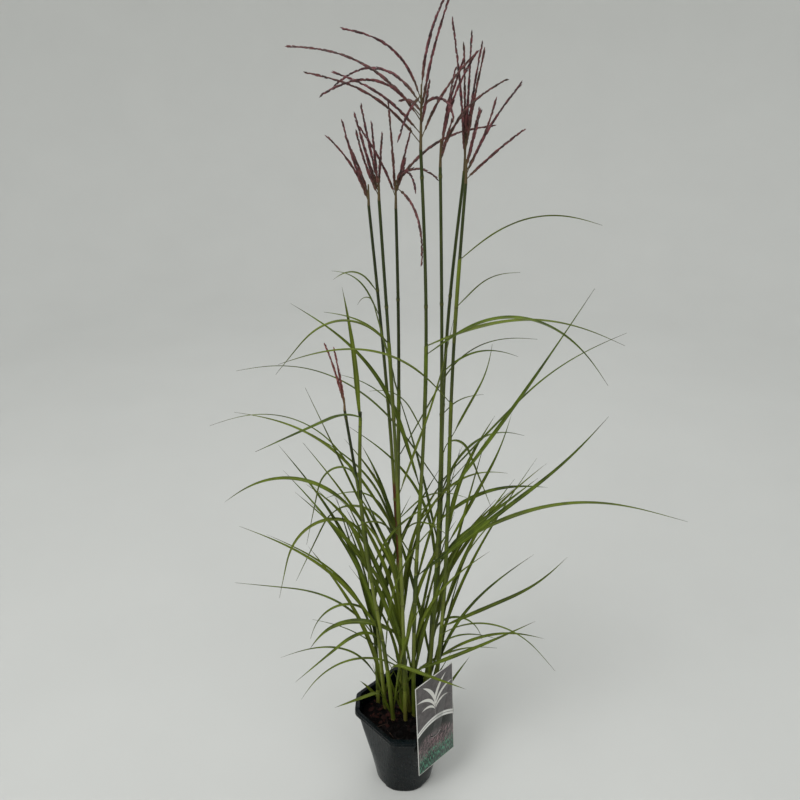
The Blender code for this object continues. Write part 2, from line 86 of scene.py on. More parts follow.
DRAIN_MIDDLES = [math.radians(DRAIN_FIRST_ANGLE + 360.0 / DRAIN_COUNT * n) for n in range(DRAIN_COUNT)]
BASE_RADII = (0.5, 12.0, DRAIN_INNER_RADIUS)
CHANNEL_RADII = (DRAIN_INNER_RADIUS + 0.8, 34.0, BASE_RADIUS - BASE_INSET - 1.0)
BASE_ROUNDING = (0.0, 0.3, 0.7, 1.0)  # shares of the turn from the base into the wall
BASE_RISE = 1.6  # height of that turn
# Rings of the lip, each an inset and a rise over its lower edge, over its groove or over its top
LIP_BELOW = ((1.0, 0.0), (0.3, 0.1), (0.0, 0.5), (0.0, 2.5), (0.0, LIP_GROOVE - 0.7))
LIP_LINE = ((0.45, -0.4), (0.55, 0.0), (0.55, 0.25), (0.1, 0.7), (0.05, 1.6))
LIP_TOP = ((0.0, -1.0), (0.12, -0.5), (0.4, -0.15), (0.8, 0.0), (1.4, 0.0), (1.9, -0.12))
POT_ANGLES = 160
OUTER_LEVELS = (5, 8, *range(14, 119, 8), 125, 130)
INNER_LEVELS = (133, 128, 122, 114, 104, 90, 60, 30)

# Potting mix
SOIL_TOP = 117.4
SOIL_GAP = 0.8
SOIL_SIDES = 120
SOIL_RINGS = 34
SOIL_LEVELS = (110, 80, 50, 20)
# Bumps of the mix: how close together they are, how high, and where in the noise they are taken from
SOIL_BUMPS = ((0.045, 2.0, 1.0), (0.16, 1.1, 7.0), (0.5, 0.55, 3.0))
SOIL_MIDDLE = 0.004  # share of the full size that the innermost ring has
SOIL_CROWDING = 0.85  # below 1 the rings stand closer together near the wall
SOIL_SEED = 41
CHIP_COUNT = 330
CRUMB_COUNT = 900
CHIP_SIZES = (4.0, 13.0)
CRUMB_SIZES = (1.2, 3.6)
CHIP_TILT = 0.55  # most that a chip lies askew, in radians
CRUMB_TILT = 1.2
CHIP_SIDES = (6, 7, 8)
CHIP_SLIM = (0.35, 0.75)  # a chip's breadth as a share of its length
CHIP_THICK = (0.1, 0.24)
CHIP_REACH = (0.72, 1.0)  # share of half the length that a corner reaches
CHIP_WOBBLE = (0.93, 1.05)  # how that strays from level to level
CHIP_RISE = (0.85, 1.15)  # the same for its height
CHIP_LIFT = 0.08  # share of its length by which a chip is raised
CHIP_MARGIN = 1.0
CHIP_LEVELS = ((-0.5, 0.72), (-0.2, 0.98), (0.25, 1.0), (0.5, 0.76))  # share of thickness, of outline
STRAW_COUNT = 9
STRAW_LENGTHS = (10, 28)
STRAW_LIFT = 1.4
STRAW_MARGIN = 16.0  # distance from the wall that straws keep
STRAW_LEANS = (84, 98)  # degrees from upright at a straw's two ends
STRAW_RADII = (0.15, 0.4, 0.45, 0.42, 0.35, 0.1)
PAINTED_SHADE_TONE = 0.4  # painted shade: how much darker the chips are on the front right, the side that lies in shade

# Label
LABEL_FACING = -45.0
LABEL_DISTANCE = 67.6
LABEL_TILT = -3.4
LABEL_WIDTH = 77.0
LABEL_BOTTOM = 78.0
LABEL_TOP = 246.0
LABEL_THICKNESS = 0.8
LABEL_CORNER = 1.5
LABEL_CORNER_STEPS = 6
LABEL_HALVES = (38.0, 84.0)  # half width and half height by which its edges are eased
LABEL_EDGES = ((-0.5, 0.12), (-0.35, 0.0), (0.35, 0.0), (0.5, 0.12))  # share of thickness, inset
SLIT_REACH = 3
SLIT_WIDTH = 2.2
SLIT_RADIUS = 14.0
SLIT_HEIGHT = 146.0
SLIT_SHIFT = -1.0
SLIT_SPREAD = 92.0
SLIT_STEPS = 20

# Culms and blades
CULM_SIDES = 14
CULM_FOOT_RADIUS = 3.3
CULM_TOP_RADIUS = 1.8
FOOT_HEIGHT = 120.0  # where the culms start
NODE_SPACING = 150.0
NODE_SWELLING = 0.45
NODE_LENGTH = 2.2  # how far from a node its swelling reaches
NODE_RINGS = (-4.5, -3, -1.8, -0.8, 0, 0.8, 1.8, 3, 4.5)
NODE_CLEARANCE = 6  # a node nearer than this to the head gets no closer rings
CULM_TAPER = 0.7  # below 1 the culm thins faster near its foot
CULM_RING_STEP = 9.0
CULM_SUNK = 4  # how far a culm goes on below its foot
STEM_SEED, LEAF_SEED, PLUME_SEED, THIN_SEED = 100, 200, 300, 77
BLADE_RINGS = 54
BLADE_TURN = (-0.25, 0.55)  # radians that a blade rolls about its midrib, least and most
UPRIGHT_TURN = (0.6, 1.1)  # the same for a blade that never droops
DROOP_LEAN = 60.0  # a blade droops if its tip leans further from upright than this, in degrees
BLADE_HUG = 26.0  # length over which a blade opens out from its sheath
BLADE_CUP = 0.62  # half angle of the blade's gutter, in radians
CUP_MOST = 2.6
WRAP_LEAST, WRAP_GAP = 1.0, 0.2  # the least radius that a blade's foot wraps, and the gap it leaves
BLADE_SHEATH = 0.45  # share of the full width where the blade leaves the culm
BLADE_OPENING = 2.2  # how fast it widens from there
BLADE_WIDEST = 0.3  # share of the length where it starts to narrow
BLADE_NARROWING = 1.75
BLADE_DRAWN_OUT = 1.6  # above 1 the narrowing comes late
BLADE_TIP = 0.035
BLADE_THICKNESS = 0.34
BLADE_THINNEST = 0.35  # share of the thickness that a blade without width would keep
BLADE_TWIST = 0.5  # most that a blade twists by its tip, in radians
ROLL_WAVE = (0.12, 6)  # how strong, and how many to the length
WIDTH_WAVE = (0.07, 9)
BLADE_GAP = 0.25  # between a sheath and its blade's foot
RIB_WIDTH = 0.15  # share of half the blade's width
RIB_GROOVE = 0.4  # depth above and height below, as shares of the thickness
RIB_KEEL = 1.6
SHEATH_SHORTEST = 14.0
SHEATH_GAP = 4  # between a sheath's foot and the leaf below
SHEATH_STEP = 8
SHEATH_MOUTH = 1.8  # how far the mouth slopes up and down
SHEATH_FOOT = 0.35  # share of the wall at a sheath's foot
SHEATH_MARK = -0.2  # value of "along" at a sheath's foot, by which materials know a sheath
SHEATH_LONGEST = 105.0
SHEATH_WALL = 0.35
SECTION = (-1.0, -0.72, -0.42, -0.16, 0.0, 0.16, 0.42, 0.72, 1.0)

# Plumes
SPIKELET_STEP = 2.5  # distance between two pairs of spikelets along a raceme
SPIKELET_LENGTH = 6.6
SPIKELET_RADIUS = 1.12
HAIRS = 2
SPIKELET_OUT = 0.35  # distance of its foot from the middle of the axis
SPIKELET_SWELL = (1.25, 0.1)  # the share along the raceme, stretched and shifted before it swells
PAIR_SPREAD = 0.5  # radians to each side, and most that each strays
PAIR_SHIFT = 1.4  # how far one of a pair sits above the other
UNEVEN = (0.9, 1.1)  # how sizes and distances vary
SPIKELET_LEAST = 0.72  # share of the full size at the ends of a raceme
SPIKELET_LEAN = (0.08, 0.2)  # radians from the raceme
SPIKELET_SIDES = 6
SPIKELET_PROFILE = ((0.0, 0.25), (0.12, 0.75), (0.35, 1.0), (0.65, 0.72), (0.88, 0.3), (1.0, 0.04))
PAIR_TURN = 0.35  # radians by which each pair turns on from half a turn
HAIR_LENGTHS = (2.5, 4.6)
HAIR_RADII = (0.055, 0.008)
HAIR_STRAY = 0.45
RACEME_POINT_STEP = 1.5
RACEME_LEAST_POINTS = 12
RACEME_AXIS = (0.62, 0.4)  # radius of the axis, and how much of it is lost by the tip
RACEME_BARE = (0.07, 0.14)  # share of the length without spikelets
RACEME_END = 2.0
RACEME_SIDES = 6
RACHIS_STEPS = 13
RACHIS_RADIUS = (1.75, 0.9)  # the same for the rachis
RACHIS_SIDES = 10
YOUNG_PLUME = "panicle_8"

# Each culm and tiller: its foot (x, y), its head (x, y, height), how far its middle bows along x,
# and how far it swings along x, one way below the middle and the other way above it.
CULMS = {
    "culm_1": ((-5, 18), (-46, 60, 900), 10, 0),
    "culm_2": ((2, -8), (-30, -10, 920), 5, 0),
    "culm_3": ((8, 10), (-12, 20, 905), -8, -4),
    "culm_4": ((15, 0), (16, -10, 975), 6, -5),
    "culm_5": ((36, 14), (38, 0, 955), 10, 0),
    "culm_6": ((28, 28), (67, 35, 945), 2, 7),
    "culm_7": ((44, 6), (66, -15, 940), 3, 4),
    "culm_8": ((-31, 16), (-77, -6, 655), 6, 0),
    "tiller_1": ((-17, -10), (-55, -30, 665), -10, 5),
    "tiller_2": ((-42, 26), (-52, 37, 335), 2, 0),
}

# Each plume: the culm it crowns, the height of its rachis, and its racemes. A raceme leaves the rachis
# at a height above the culm's head, heads for a compass direction (0 is +X, 90 is +Y), has a length,
# and leans from upright by a number of degrees where it leaves and by another at its tip.
PLUMES = {
    "panicle_1": ("culm_1", 25, (
        (4, 175, 90, 20, 45), (8, 160, 95, 25, 15), (10, 195, 60, 15, 25), (6, 140, 80, 20, 35),
    )),
    "panicle_2": ("culm_2", 25, (
        (4, 205, 75, 25, 15), (8, 150, 65, 25, 15), (12, 185, 85, 20, 15),
        (17, 160, 85, 15, 12), (10, 240, 75, 12, 8), (11, 60, 60, 5, 10),
    )),
    "panicle_3": ("culm_3", 32, (
        (6, 150, 110, 4, 6), (12, 185, 90, 20, 35), (15, 10, 75, 12, 15), (21, -20, 65, 20, 125),
        (24, -60, 110, 100, 182), (28, 15, 135, 40, 85), (27, -55, 60, 25, 165), (19, 50, 40, 35, 15),
    )),
    "panicle_4": ("culm_4", 66, (
        (60, 15, 110, 5, 30), (38, -20, 120, 10, 20), (50, 185, 115, 20, 80), (34, 165, 172, 44, 88),
        (6, 195, 145, 40, 78), (16, 175, 115, 42, 72), (29, 205, 130, 35, 115), (46, 155, 125, 40, 125),
        (56, 220, 55, 130, 160), (41, -25, 55, 40, 170), (10, 5, 105, 22, 45), (24, -60, 50, 22, 18),
        (38, 130, 42, 50, 105),
    )),
    "panicle_5": ("culm_5", 30, (
        (8, -15, 105, 5, 20), (12, 40, 90, 8, 16), (16, -45, 115, 12, 38),
        (10, 5, 110, 20, 62), (4, -70, 60, 28, 38), (8, 70, 70, 15, 45),
    )),
    "panicle_6": ("culm_6", 35, (
        (6, 175, 155, 4, 10), (10, 120, 125, 3, 6), (26, 60, 120, 3, 3), (16, 20, 120, 5, 10),
        (20, -30, 110, 8, 12),
    )),
    "panicle_7": ("culm_7", 26, (
        (4, -25, 85, 45, 52), (9, -5, 110, 22, 38), (13, 15, 80, 30, 15), (17, -50, 65, 15, 15),
        (19, 45, 60, 20, 20),
    )),
    "panicle_8": ("culm_8", 18, ((5, 185, 90, 10, 18), (8, 150, 75, 8, 12))),
}

# Each leaf: its culm, the height where it leaves the culm, its compass direction, width and length,
# its lean from upright at the foot and at the tip, and the shares of its length where the bend between
# the two starts and ends. A share below 0 means that the blade is already bending as it leaves the culm.
RIGHT_LEAVES = (
    ("culm_7", 535, -15, 8, 335, 30, 26, 0.0, 1.0),
    ("culm_5", 545, 5, 6, 310, 40, 66, 0.4, 1.0),
    ("culm_4", 745, 6, 7, 258, 68, 116, 0.0, 1.0),
    ("culm_4", 735, -22, 7, 260, 50, 142, 0.1, 1.0),
    ("culm_3", 580, 4, 7, 260, 27, 96, 0.4, 1.0),
    ("culm_7", 620, -35, 5, 150, 25, 6, 0.5, 1.0),
    ("culm_4", 395, -30, 8, 395, 39, 30, 0.6, 1.0),
    ("culm_6", 405, 12, 8, 410, 54, 112, -0.1, 0.9),
    ("culm_7", 300, -40, 6, 285, 44, 30, 0.5, 1.0),
    ("culm_7", 285, -12, 5, 200, 45, 140, -0.1, 0.9),
    ("culm_4", 215, -25, 6, 240, 49, 45, 0.0, 1.0),
    ("culm_5", 218, 20, 5, 205, 55, 120, -0.2, 1.0),
    ("culm_7", 450, 10, 5, 210, 25, 12, 0.5, 1.0),
    ("culm_6", 515, 30, 6, 170, 24, 116, 0.0, 1.0),
    ("culm_6", 575, -20, 6, 140, 10, 156, 0.0, 0.4),
    ("culm_5", 400, -12, 7, 210, 20, 42, 0.0, 0.4),
    ("culm_6", 335, -15, 6, 285, 19, 40, 0.0, 1.0),
    ("culm_2", 535, -25, 8, 265, 18, 10, 0.3, 1.0),
)
LEFT_LEAVES = (
    ("culm_4", 545, 172, 7, 305, 16, 60, 0.2, 1.0),
    ("culm_2", 750, 198, 7, 170, 42, 138, 0.0, 0.8),
    ("culm_7", 670, 195, 7, 240, 38, 104, 0.0, 1.0),
    ("culm_5", 540, 160, 6, 360, 37, 108, 0.1, 1.0),
    ("culm_4", 420, 170, 7, 345, 31, 86, 0.3, 1.0),
    ("culm_1", 390, 177, 4, 395, 22, 112, 0.35, 1.0),
    ("tiller_1", 658, 190, 9, 138, 58, 112, -0.1, 0.3),
    ("tiller_1", 655, 120, 7, 165, 4, 24, 0.0, 1.0),
    ("culm_3", 675, 200, 8, 150, 14, 150, 0.8, 1.0),
    ("tiller_1", 500, 175, 6, 220, 30, 130, -0.1, 1.0),
    ("tiller_2", 325, 200, 7, 330, 2, 166, 0.2, 0.85),
    ("tiller_1", 535, 205, 6, 190, 5, 166, 0.1, 0.6),
    ("culm_1", 412, 164, 7, 290, 15, 156, 0.0, 0.6),
    ("tiller_1", 305, 185, 7, 270, 26, 62, 0.0, 1.0),
    ("tiller_2", 250, 170, 6, 245, 28, 92, -0.1, 0.7),
    ("culm_1", 360, 200, 6, 350, 20, 20, 0.0, 1.0),
    ("tiller_1", 285, 225, 6, 172, 30, 100, 0.0, 0.6),
    ("culm_2", 285, 175, 10, 170, 50, 150, -0.1, 1.0),
)
LEAVES = {
    f"leaf_{side}_{number:02d}": row
    for side, rows in (("right", RIGHT_LEAVES), ("left", LEFT_LEAVES))
    for number, row in enumerate(rows, 1)
}
LEAVES |= {
    "leaf_low_left": ("culm_8", 142, 205, 6, 85, 20, 92, 0.0, 0.3),
    "leaf_low_right": ("tiller_1", 223, -36, 6, 150, 20, 78, 0.0, 0.3),
    "leaf_top_right": ("culm_7", 855, 10, 5, 180, 50, 108, 0.0, 1.0),
}

# Blades too slender or too many for a solid of their own, drawn at random within bounds. Each kind:
# how many, and the least and most of the height where it starts, its length, its width, its lean from
# upright at the foot and its lean at the tip.
THIN_KINDS = {
    "shoots": (16, (120, 128), (45, 125), (3.0, 6.0), (4, 26), (8, 45)),
    "upright": (22, (140, 470), (180, 340), (4.5, 7.5), (3, 16), (14, 55)),
    "inner": (22, (124, 260), (240, 440), (5.0, 8.5), (2, 13), (8, 45)),
    "drooping": (13, (150, 520), (90, 220), (3.5, 6.5), (10, 50), (75, 165)),
    "high": (8, (620, 880), (55, 130), (2.5, 4.0), (25, 55), (80, 150)),
}
THIN_SPREAD = 32.0  # degrees to each side of the plane that faces the front
THIN_STRAY = 0.2  # share of the blades that lean to the other side
THIN_BEND = (-0.1, 0.3)  # share of the length where the bend starts
THIN_HEADROOM = 60  # least of the culm above the lowest blade of a kind
THIN_TOP_GAP = 30  # least of the culm above any blade
CLUMP_MIDDLE = 10
WARM_FADE = 18  # height over which a reddish stretch fades out

# Stretches of a culm that are reddish brown: (lowest, highest, strength).
WARM_STRETCHES = {
    "culm_1": ((400, 530, 0.9), (180, 260, 0.4)),
    "culm_3": ((390, 500, 0.8), (600, 660, 0.4)),
    "culm_4": ((300, 350, 0.8), (470, 505, 0.6)),
    "culm_5": ((330, 380, 0.3), (150, 220, 0.35)),
    "culm_7": ((180, 240, 0.3),),
}


class Shape:
    """Corners in millimetres, faces with their material number, and the values that materials read."""

    def __init__(self):
        self.corners = []
        self.faces = []
        self.kinds = []
        self.values = {"along": [], "across": [], "tone": []}

    def add(self, body, kind=0, **values):
        """Adds a closed body. A value is one number, or a number for each corner."""
        corners, faces = body
        first = len(self.corners)
        self.corners += corners
        self.faces += [tuple(first + k for k in face) for face in faces]
        self.kinds += [kind] * len(faces)
        for name, given in self.values.items():
            value = values.get(name, 0.0)
            given += value if isinstance(value, list) else [value] * len(corners)

    def object(self, name, materials):
        """Makes a Blender object of it, in metres."""
        mesh = bpy.data.meshes.new(name)
        mesh.from_pydata([Vector(corner) * MM for corner in self.corners], [], self.faces)
        mesh.polygons.foreach_set("material_index", self.kinds)
        for value_name, numbers in self.values.items():
            attribute = mesh.attributes.new(value_name, "FLOAT", "POINT")
            attribute.data.foreach_set("value", numbers)
        turned = bmesh.new()
        turned.from_mesh(mesh)
        bmesh.ops.recalc_face_normals(turned, faces=turned.faces)
        turned.to_mesh(mesh)
        turned.free()
        mesh.polygons.foreach_set("use_smooth", [True] * len(mesh.polygons))
        mesh.set_sharp_from_angle(angle=math.radians(50))
        for material in materials:
            mesh.materials.append(material)
        made = bpy.data.objects.new(name, mesh)
        bpy.context.scene.collection.objects.link(made)
        return made

    def piece(self, name, materials, slot, *nodes):
        """Makes the object. It rides on the one body and stands for the CAD nodes."""
        made = self.object(name, materials)
        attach(made, "root")
        if nodes:
            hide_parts(*nodes)
        return made


def smooth(share):
    """A soft step from 0 to 1."""
    held = min(max(share, 0.0), 1.0)
    return held * held * (3 - 2 * held)


def around(angle, distance=1.0, height=0.0):
    """The point at an angle in radians and a distance from the axis."""
    return Vector((distance * math.cos(angle), distance * math.sin(angle), height))


def bearing(heading):
    """The level unit direction of a compass heading."""
    return around(math.radians(heading))


def raised(height):
    """Straight up by a height."""
    return Vector((0.0, 0.0, height))


def arch(root, heading, length, rise, fall, bend_start, bend_end, count):
    """Points of a blade or raceme that leans by rise degrees at its root and by fall at its tip.

    It is straight up to the share of its length where the bend starts, and again after it ends.
    """
    out = bearing(heading)
    points = [root.copy()]
    for i in range(count - 1):
        bent = smooth(((i + 0.5) / (count - 1) - bend_start) / (bend_end - bend_start))
        lean = math.radians(rise + (fall - rise) * bent)
        step = out * math.sin(lean) + raised(math.cos(lean))
        points.append(points[-1] + step * (length / (count - 1)))
    return points


def loft(rings):
    """Corners and faces of a closed body through rings of equally many corners."""
    count = len(rings[0])
    corners = [corner for ring in rings for corner in ring]
    faces = []
    for i in range(len(rings) - 1):
        for k in range(count):
            a, b = i * count + k, i * count + (k + 1) % count
            faces.append((a, b, b + count, a + count))
    faces.append(tuple(range(count)))
    faces.append(tuple(range(len(corners) - count, len(corners))))
    return corners, faces


def per_ring(numbers, count):
    """One number for each corner, from one for each ring."""
    return [number for number in numbers for _ in range(count)]


def directions(path):
    """The unit direction of the path at each of its points."""
    last = len(path) - 1
    return [(path[min(i + 1, last)] - path[max(i - 1, 0)]).normalized() for i in range(last + 1)]


def rod(path, radii, sides):
    """A closed round rod along a path."""
    rings = []
    for point, ahead, radius in zip(path, directions(path), radii):
        turn = ahead.to_track_quat("Z", "Y")
        rings.append([point + turn @ around(math.tau * k / sides) * radius for k in range(sides)])
    return loft(rings)


class Stem:
    """The middle line of a culm and its radius at any height."""

    def __init__(self, foot, head, bow, swing):
        self.root = Vector((*foot, FOOT_HEIGHT))
        self.head = Vector(head)
        self.bow = bow
        self.swing = swing
        self.top = self.head.z

    def share(self, height):
        """How far up the culm a height is: 0 at its foot, 1 at its head."""
        return (height - FOOT_HEIGHT) / (self.top - FOOT_HEIGHT)

    def at(self, height):
        """The middle of the culm at a height, or its head above that."""
        share = min(self.share(height), 1.0)
        wave = self.bow * math.sin(math.pi * share) + self.swing * math.sin(math.tau * share)
        return self.root.lerp(self.head, share) + Vector((wave, 0.0, 0.0))

    def radius(self, height):
        """Radius between the nodes, thinner towards the top."""
        share = min(max(self.share(height), 0.0), 1.0)
        return CULM_FOOT_RADIUS + (CULM_TOP_RADIUS - CULM_FOOT_RADIUS) * share**CULM_TAPER


STEMS = {name: Stem(*row) for name, row in CULMS.items()}


def node_nearness(height):
    """1 at a culm's node, falling to 0 a few millimetres away."""
    distance = abs((height - FOOT_HEIGHT) / NODE_SPACING % 1.0 - 0.5) * NODE_SPACING
    return math.exp(-((distance / NODE_LENGTH) ** 2))


def warmth(name, height):
    """How reddish brown a culm is at a height."""
    found = 0.0
    for low, high, strength in WARM_STRETCHES.get(name, ()):
        inside = smooth((height - low) / WARM_FADE) * smooth((high - height) / WARM_FADE)
        found = max(found, strength * inside)
    return found


def stem_heights(stem):
    """Heights of a culm's rings, closer together at its nodes."""
    heights = {FOOT_HEIGHT - CULM_SUNK, stem.top}
    count = int((stem.top - FOOT_HEIGHT) / CULM_RING_STEP)
    heights.update(FOOT_HEIGHT + CULM_RING_STEP * i for i in range(count))
    node = FOOT_HEIGHT + NODE_SPACING / 2
    while node < stem.top - NODE_CLEARANCE:
        heights.update(node + offset for offset in NODE_RINGS)
        node += NODE_SPACING
    return sorted(heights)


def build_stems(material):
    """The culms and tillers, with their swollen nodes."""
    for number, (name, stem) in enumerate(STEMS.items()):
        draw = random.Random(STEM_SEED + number)
        heights = stem_heights(stem)
        path = [stem.at(height) for height in heights]
        radii = [stem.radius(h) + NODE_SWELLING * node_nearness(h) for h in heights]
        shares = [stem.share(h) for h in heights]
        shape = Shape()
        shape.add(
            rod(path, radii, CULM_SIDES),
            along=per_ring(shares, CULM_SIDES),
            across=per_ring([warmth(name, h) - node_nearness(h) for h in heights], CULM_SIDES),
            tone=draw.random(),
        )
        piece_name = name.replace("culm", "stem").replace("tiller", "shoot")
        shape.piece(piece_name, [material], "culm_green", name)


def blade_width(share):
    """Share of the full width: narrow at the sheath, widest before the middle, drawn out to the tip."""
    grown = min(1.0, BLADE_SHEATH + share * BLADE_OPENING)
    narrowed = 1.0 - BLADE_NARROWING * max(0.0, share - BLADE_WIDEST) ** BLADE_DRAWN_OUT
    return grown * max(BLADE_TIP, narrowed)


def blade_section(half, cup, thickness):
    """A blade's cross section, as (across, up) pairs: a gutter with a rib under its middle."""
    middle = [(half * math.sin(cup * t) / cup, half * (1 - math.cos(cup * t)) / cup) for t in SECTION]
    rib = [math.exp(-((t / RIB_WIDTH) ** 2)) for t in SECTION]
    upper = [(x, y + thickness * (0.5 - RIB_GROOVE * r)) for (x, y), r in zip(middle, rib)]
    lower = [(x, y - thickness * (0.5 + RIB_KEEL * r)) for (x, y), r in zip(middle, rib)]
    return upper + lower[-2:0:-1]


def blade(root, heading, width, shape, clear, turn, draw):
    """A blade's body, with how far along and across it each corner is."""
    side = bearing(heading + 90)
    path = arch(root + bearing(heading) * clear, heading, *shape, BLADE_RINGS)
    own = draw.random() * 50        # the blade's own place in the noise
    twist = draw.uniform(-BLADE_TWIST, BLADE_TWIST)
    rings, travelled = [], 0.0
    for i, (point, ahead) in enumerate(zip(path, directions(path))):
        share = i / (BLADE_RINGS - 1)
        if i:
            travelled += (point - path[i - 1]).length
        opened = smooth(travelled / BLADE_HUG)
        level = (side - ahead * side.dot(ahead)).normalized()
        above = ahead.cross(level)
        wave = ROLL_WAVE[0] * noise.noise(Vector((share * ROLL_WAVE[1], own, 0)))
        roll = turn * opened + twist * smooth(share) + wave
        across = level * math.cos(roll) + above * math.sin(roll)
        up = ahead.cross(across)
        uneven = 1 + WIDTH_WAVE[0] * noise.noise(Vector((share * WIDTH_WAVE[1], own, 3)))
        half = width / 2 * blade_width(share) * uneven
        hug = half / (max(clear, WRAP_LEAST) + WRAP_GAP)
        cup = min(hug + (BLADE_CUP - hug) * opened, CUP_MOST)
        thickness = BLADE_THICKNESS * (BLADE_THINNEST + (1 - BLADE_THINNEST) * blade_width(share))
        rings.append([point + across * x + up * y for x, y in blade_section(half, cup, thickness)])
    count = len(rings[0])
    across_one = list(SECTION) + list(SECTION[-2:0:-1])
    return loft(rings), {
        "along": per_ring([i / (BLADE_RINGS - 1) for i in range(BLADE_RINGS)], count),
        "across": across_one * BLADE_RINGS,
    }


def sheath(stem, heading, height, length):
    """The tube of a leaf that wraps its culm under the blade, its mouth sloping up to the blade."""
    front = math.radians(heading)
    steps = max(4, int(length / SHEATH_STEP))
    rings, shares = [], []
    for i in range(steps + 1):
        share = i / steps
        level = height - length * (1 - share)
        middle = stem.at(level)
        wall = SHEATH_FOOT + (1 - SHEATH_FOOT) * smooth(share * 3)
        radius = stem.radius(level) + SHEATH_WALL * wall
        ring = []
        for k in range(CULM_SIDES):
            angle = math.tau * k / CULM_SIDES
            rise = SHEATH_MOUTH * math.cos(angle - front) * smooth(share * 4 - 3)    # over the last quarter
            ring.append(middle + around(angle, radius, rise))
        rings.append(ring)
        shares.append(SHEATH_MARK * (1 - share))
    return loft(rings), {"along": per_ring(shares, CULM_SIDES), "across": 0.5}


def sheath_length(culm, height):
    """Down to just over the next leaf on the same culm."""
    below = [row[1] for row in LEAVES.values() if row[0] == culm and row[1] < height]
    free = height - max(below, default=FOOT_HEIGHT) - SHEATH_GAP
    return min(SHEATH_LONGEST, max(free, SHEATH_SHORTEST))


def thin_rows():
    """The slender blades, each within the bounds of its kind. Most lean to their culm's side."""
    draw = random.Random(THIN_SEED)
    rows = []
    for kind, (count, heights, *bounds) in THIN_KINDS.items():
        tall = [name for name, stem in STEMS.items() if stem.top > heights[0] + THIN_HEADROOM]
        for number in range(count):
            culm = tall[number % len(tall)]
            height = draw.uniform(heights[0], min(heights[1], STEMS[culm].top - THIN_TOP_GAP))
            length, width, rise, fall = (draw.uniform(*limits) for limits in bounds)
            leftward = (STEMS[culm].at(height).x < CLUMP_MIDDLE) != (draw.random() < THIN_STRAY)
            heading = (180 if leftward else 0) + draw.uniform(-THIN_SPREAD, THIN_SPREAD)
            bend_start = draw.uniform(*THIN_BEND)
            rows.append((culm, height, heading, width, length, rise, fall, bend_start, 1.0))
    return rows


def build_leaves(material):
    """Every leaf: its sheath round the culm and its long blade."""
    thin = {f"thin_leaf_{i + 1:02d}": row for i, row in enumerate(thin_rows())}
    for number, (name, row) in enumerate({**LEAVES, **thin}.items()):
        culm, height, heading, width, *outline = row
        draw = random.Random(LEAF_SEED + number)
        tone = draw.random()
        faces_front = 1.0 if math.cos(math.radians(heading)) > 0 else -1.0
        tip_lean = outline[2]
        turn = faces_front * draw.uniform(*(BLADE_TURN if tip_lean > DROOP_LEAN else UPRIGHT_TURN))
        stem = STEMS[culm]
        shape = Shape()
        clear = 0.0
        if name in LEAVES:
            clear = stem.radius(height) + SHEATH_WALL + BLADE_GAP
            body, values = sheath(stem, heading, height, sheath_length(culm, height))
            shape.add(body, tone=tone, **values)
        body, values = blade(stem.at(height), heading, width, outline, clear, turn, draw)
        shape.add(body, tone=tone, **values)
        nodes = [name] if name in LEAVES else []
        shape.piece(name.replace("leaf_", "blade_"), [material], "leaf_green", *nodes)


def spikelet(base, ahead, length, radius):
    """A slender pointed body."""
    path = [base + ahead * (length * place) for place, _ in SPIKELET_PROFILE]
    return rod(path, [radius * share for _, share in SPIKELET_PROFILE], SPIKELET_SIDES)


def hair(base, ahead, length):
    """A fine pointed hair."""
    return rod([base, base + ahead * length], HAIR_RADII, 3)


def add_raceme(shape, path, length, draw):
    """The thin axis of a raceme with its spikelets in pairs, left and right in turn."""
    count = len(path)
    tone = draw.random()
    radius, loss = RACEME_AXIS
    radii = [radius - loss * i / (count - 1) for i in range(count)]
    shares = [i / (count - 1) for i in range(count)]
    axis = rod(path, radii, RACEME_SIDES)
    shape.add(axis, along=per_ring(shares, RACEME_SIDES), across=-1.0, tone=tone)
    ahead = directions(path)
    plane = draw.random() * math.tau
    place = length * draw.uniform(*RACEME_BARE)
    number = 0
    while place < length - RACEME_END:
        share = place / length
        i = min(int(share * (count - 1)), count - 2)
        turn = ahead[i].to_track_quat("Z", "Y")
        stretch, shift = SPIKELET_SWELL
        swell = math.sin(math.pi * min(1.0, share * stretch + shift))
        size = (SPIKELET_LEAST + (1 - SPIKELET_LEAST) * swell) * draw.uniform(*UNEVEN)
        for spread in (-PAIR_SPREAD, PAIR_SPREAD):
            angle = plane + math.pi * number + PAIR_TURN * number + spread
            angle += draw.uniform(-PAIR_SPREAD, PAIR_SPREAD)
            outward = turn @ around(angle)
            lean = draw.uniform(*SPIKELET_LEAN)
            way = (ahead[i] * math.cos(lean) + outward * math.sin(lean)).normalized()
            foot = path[i] + outward * SPIKELET_OUT + ahead[i] * (PAIR_SHIFT if spread > 0 else 0.0)
            shape.add(
                spikelet(foot, way, SPIKELET_LENGTH * size, SPIKELET_RADIUS * size),
                along=share, across=draw.random(), tone=tone,
            )
            for _ in range(HAIRS):
                stray = Vector([draw.uniform(-HAIR_STRAY, HAIR_STRAY) for _ in range(3)])
                shape.add(hair(foot, (way + stray).normalized(), draw.uniform(*HAIR_LENGTHS)), kind=1)
        place += SPIKELET_STEP * draw.uniform(*UNEVEN)
        number += 1


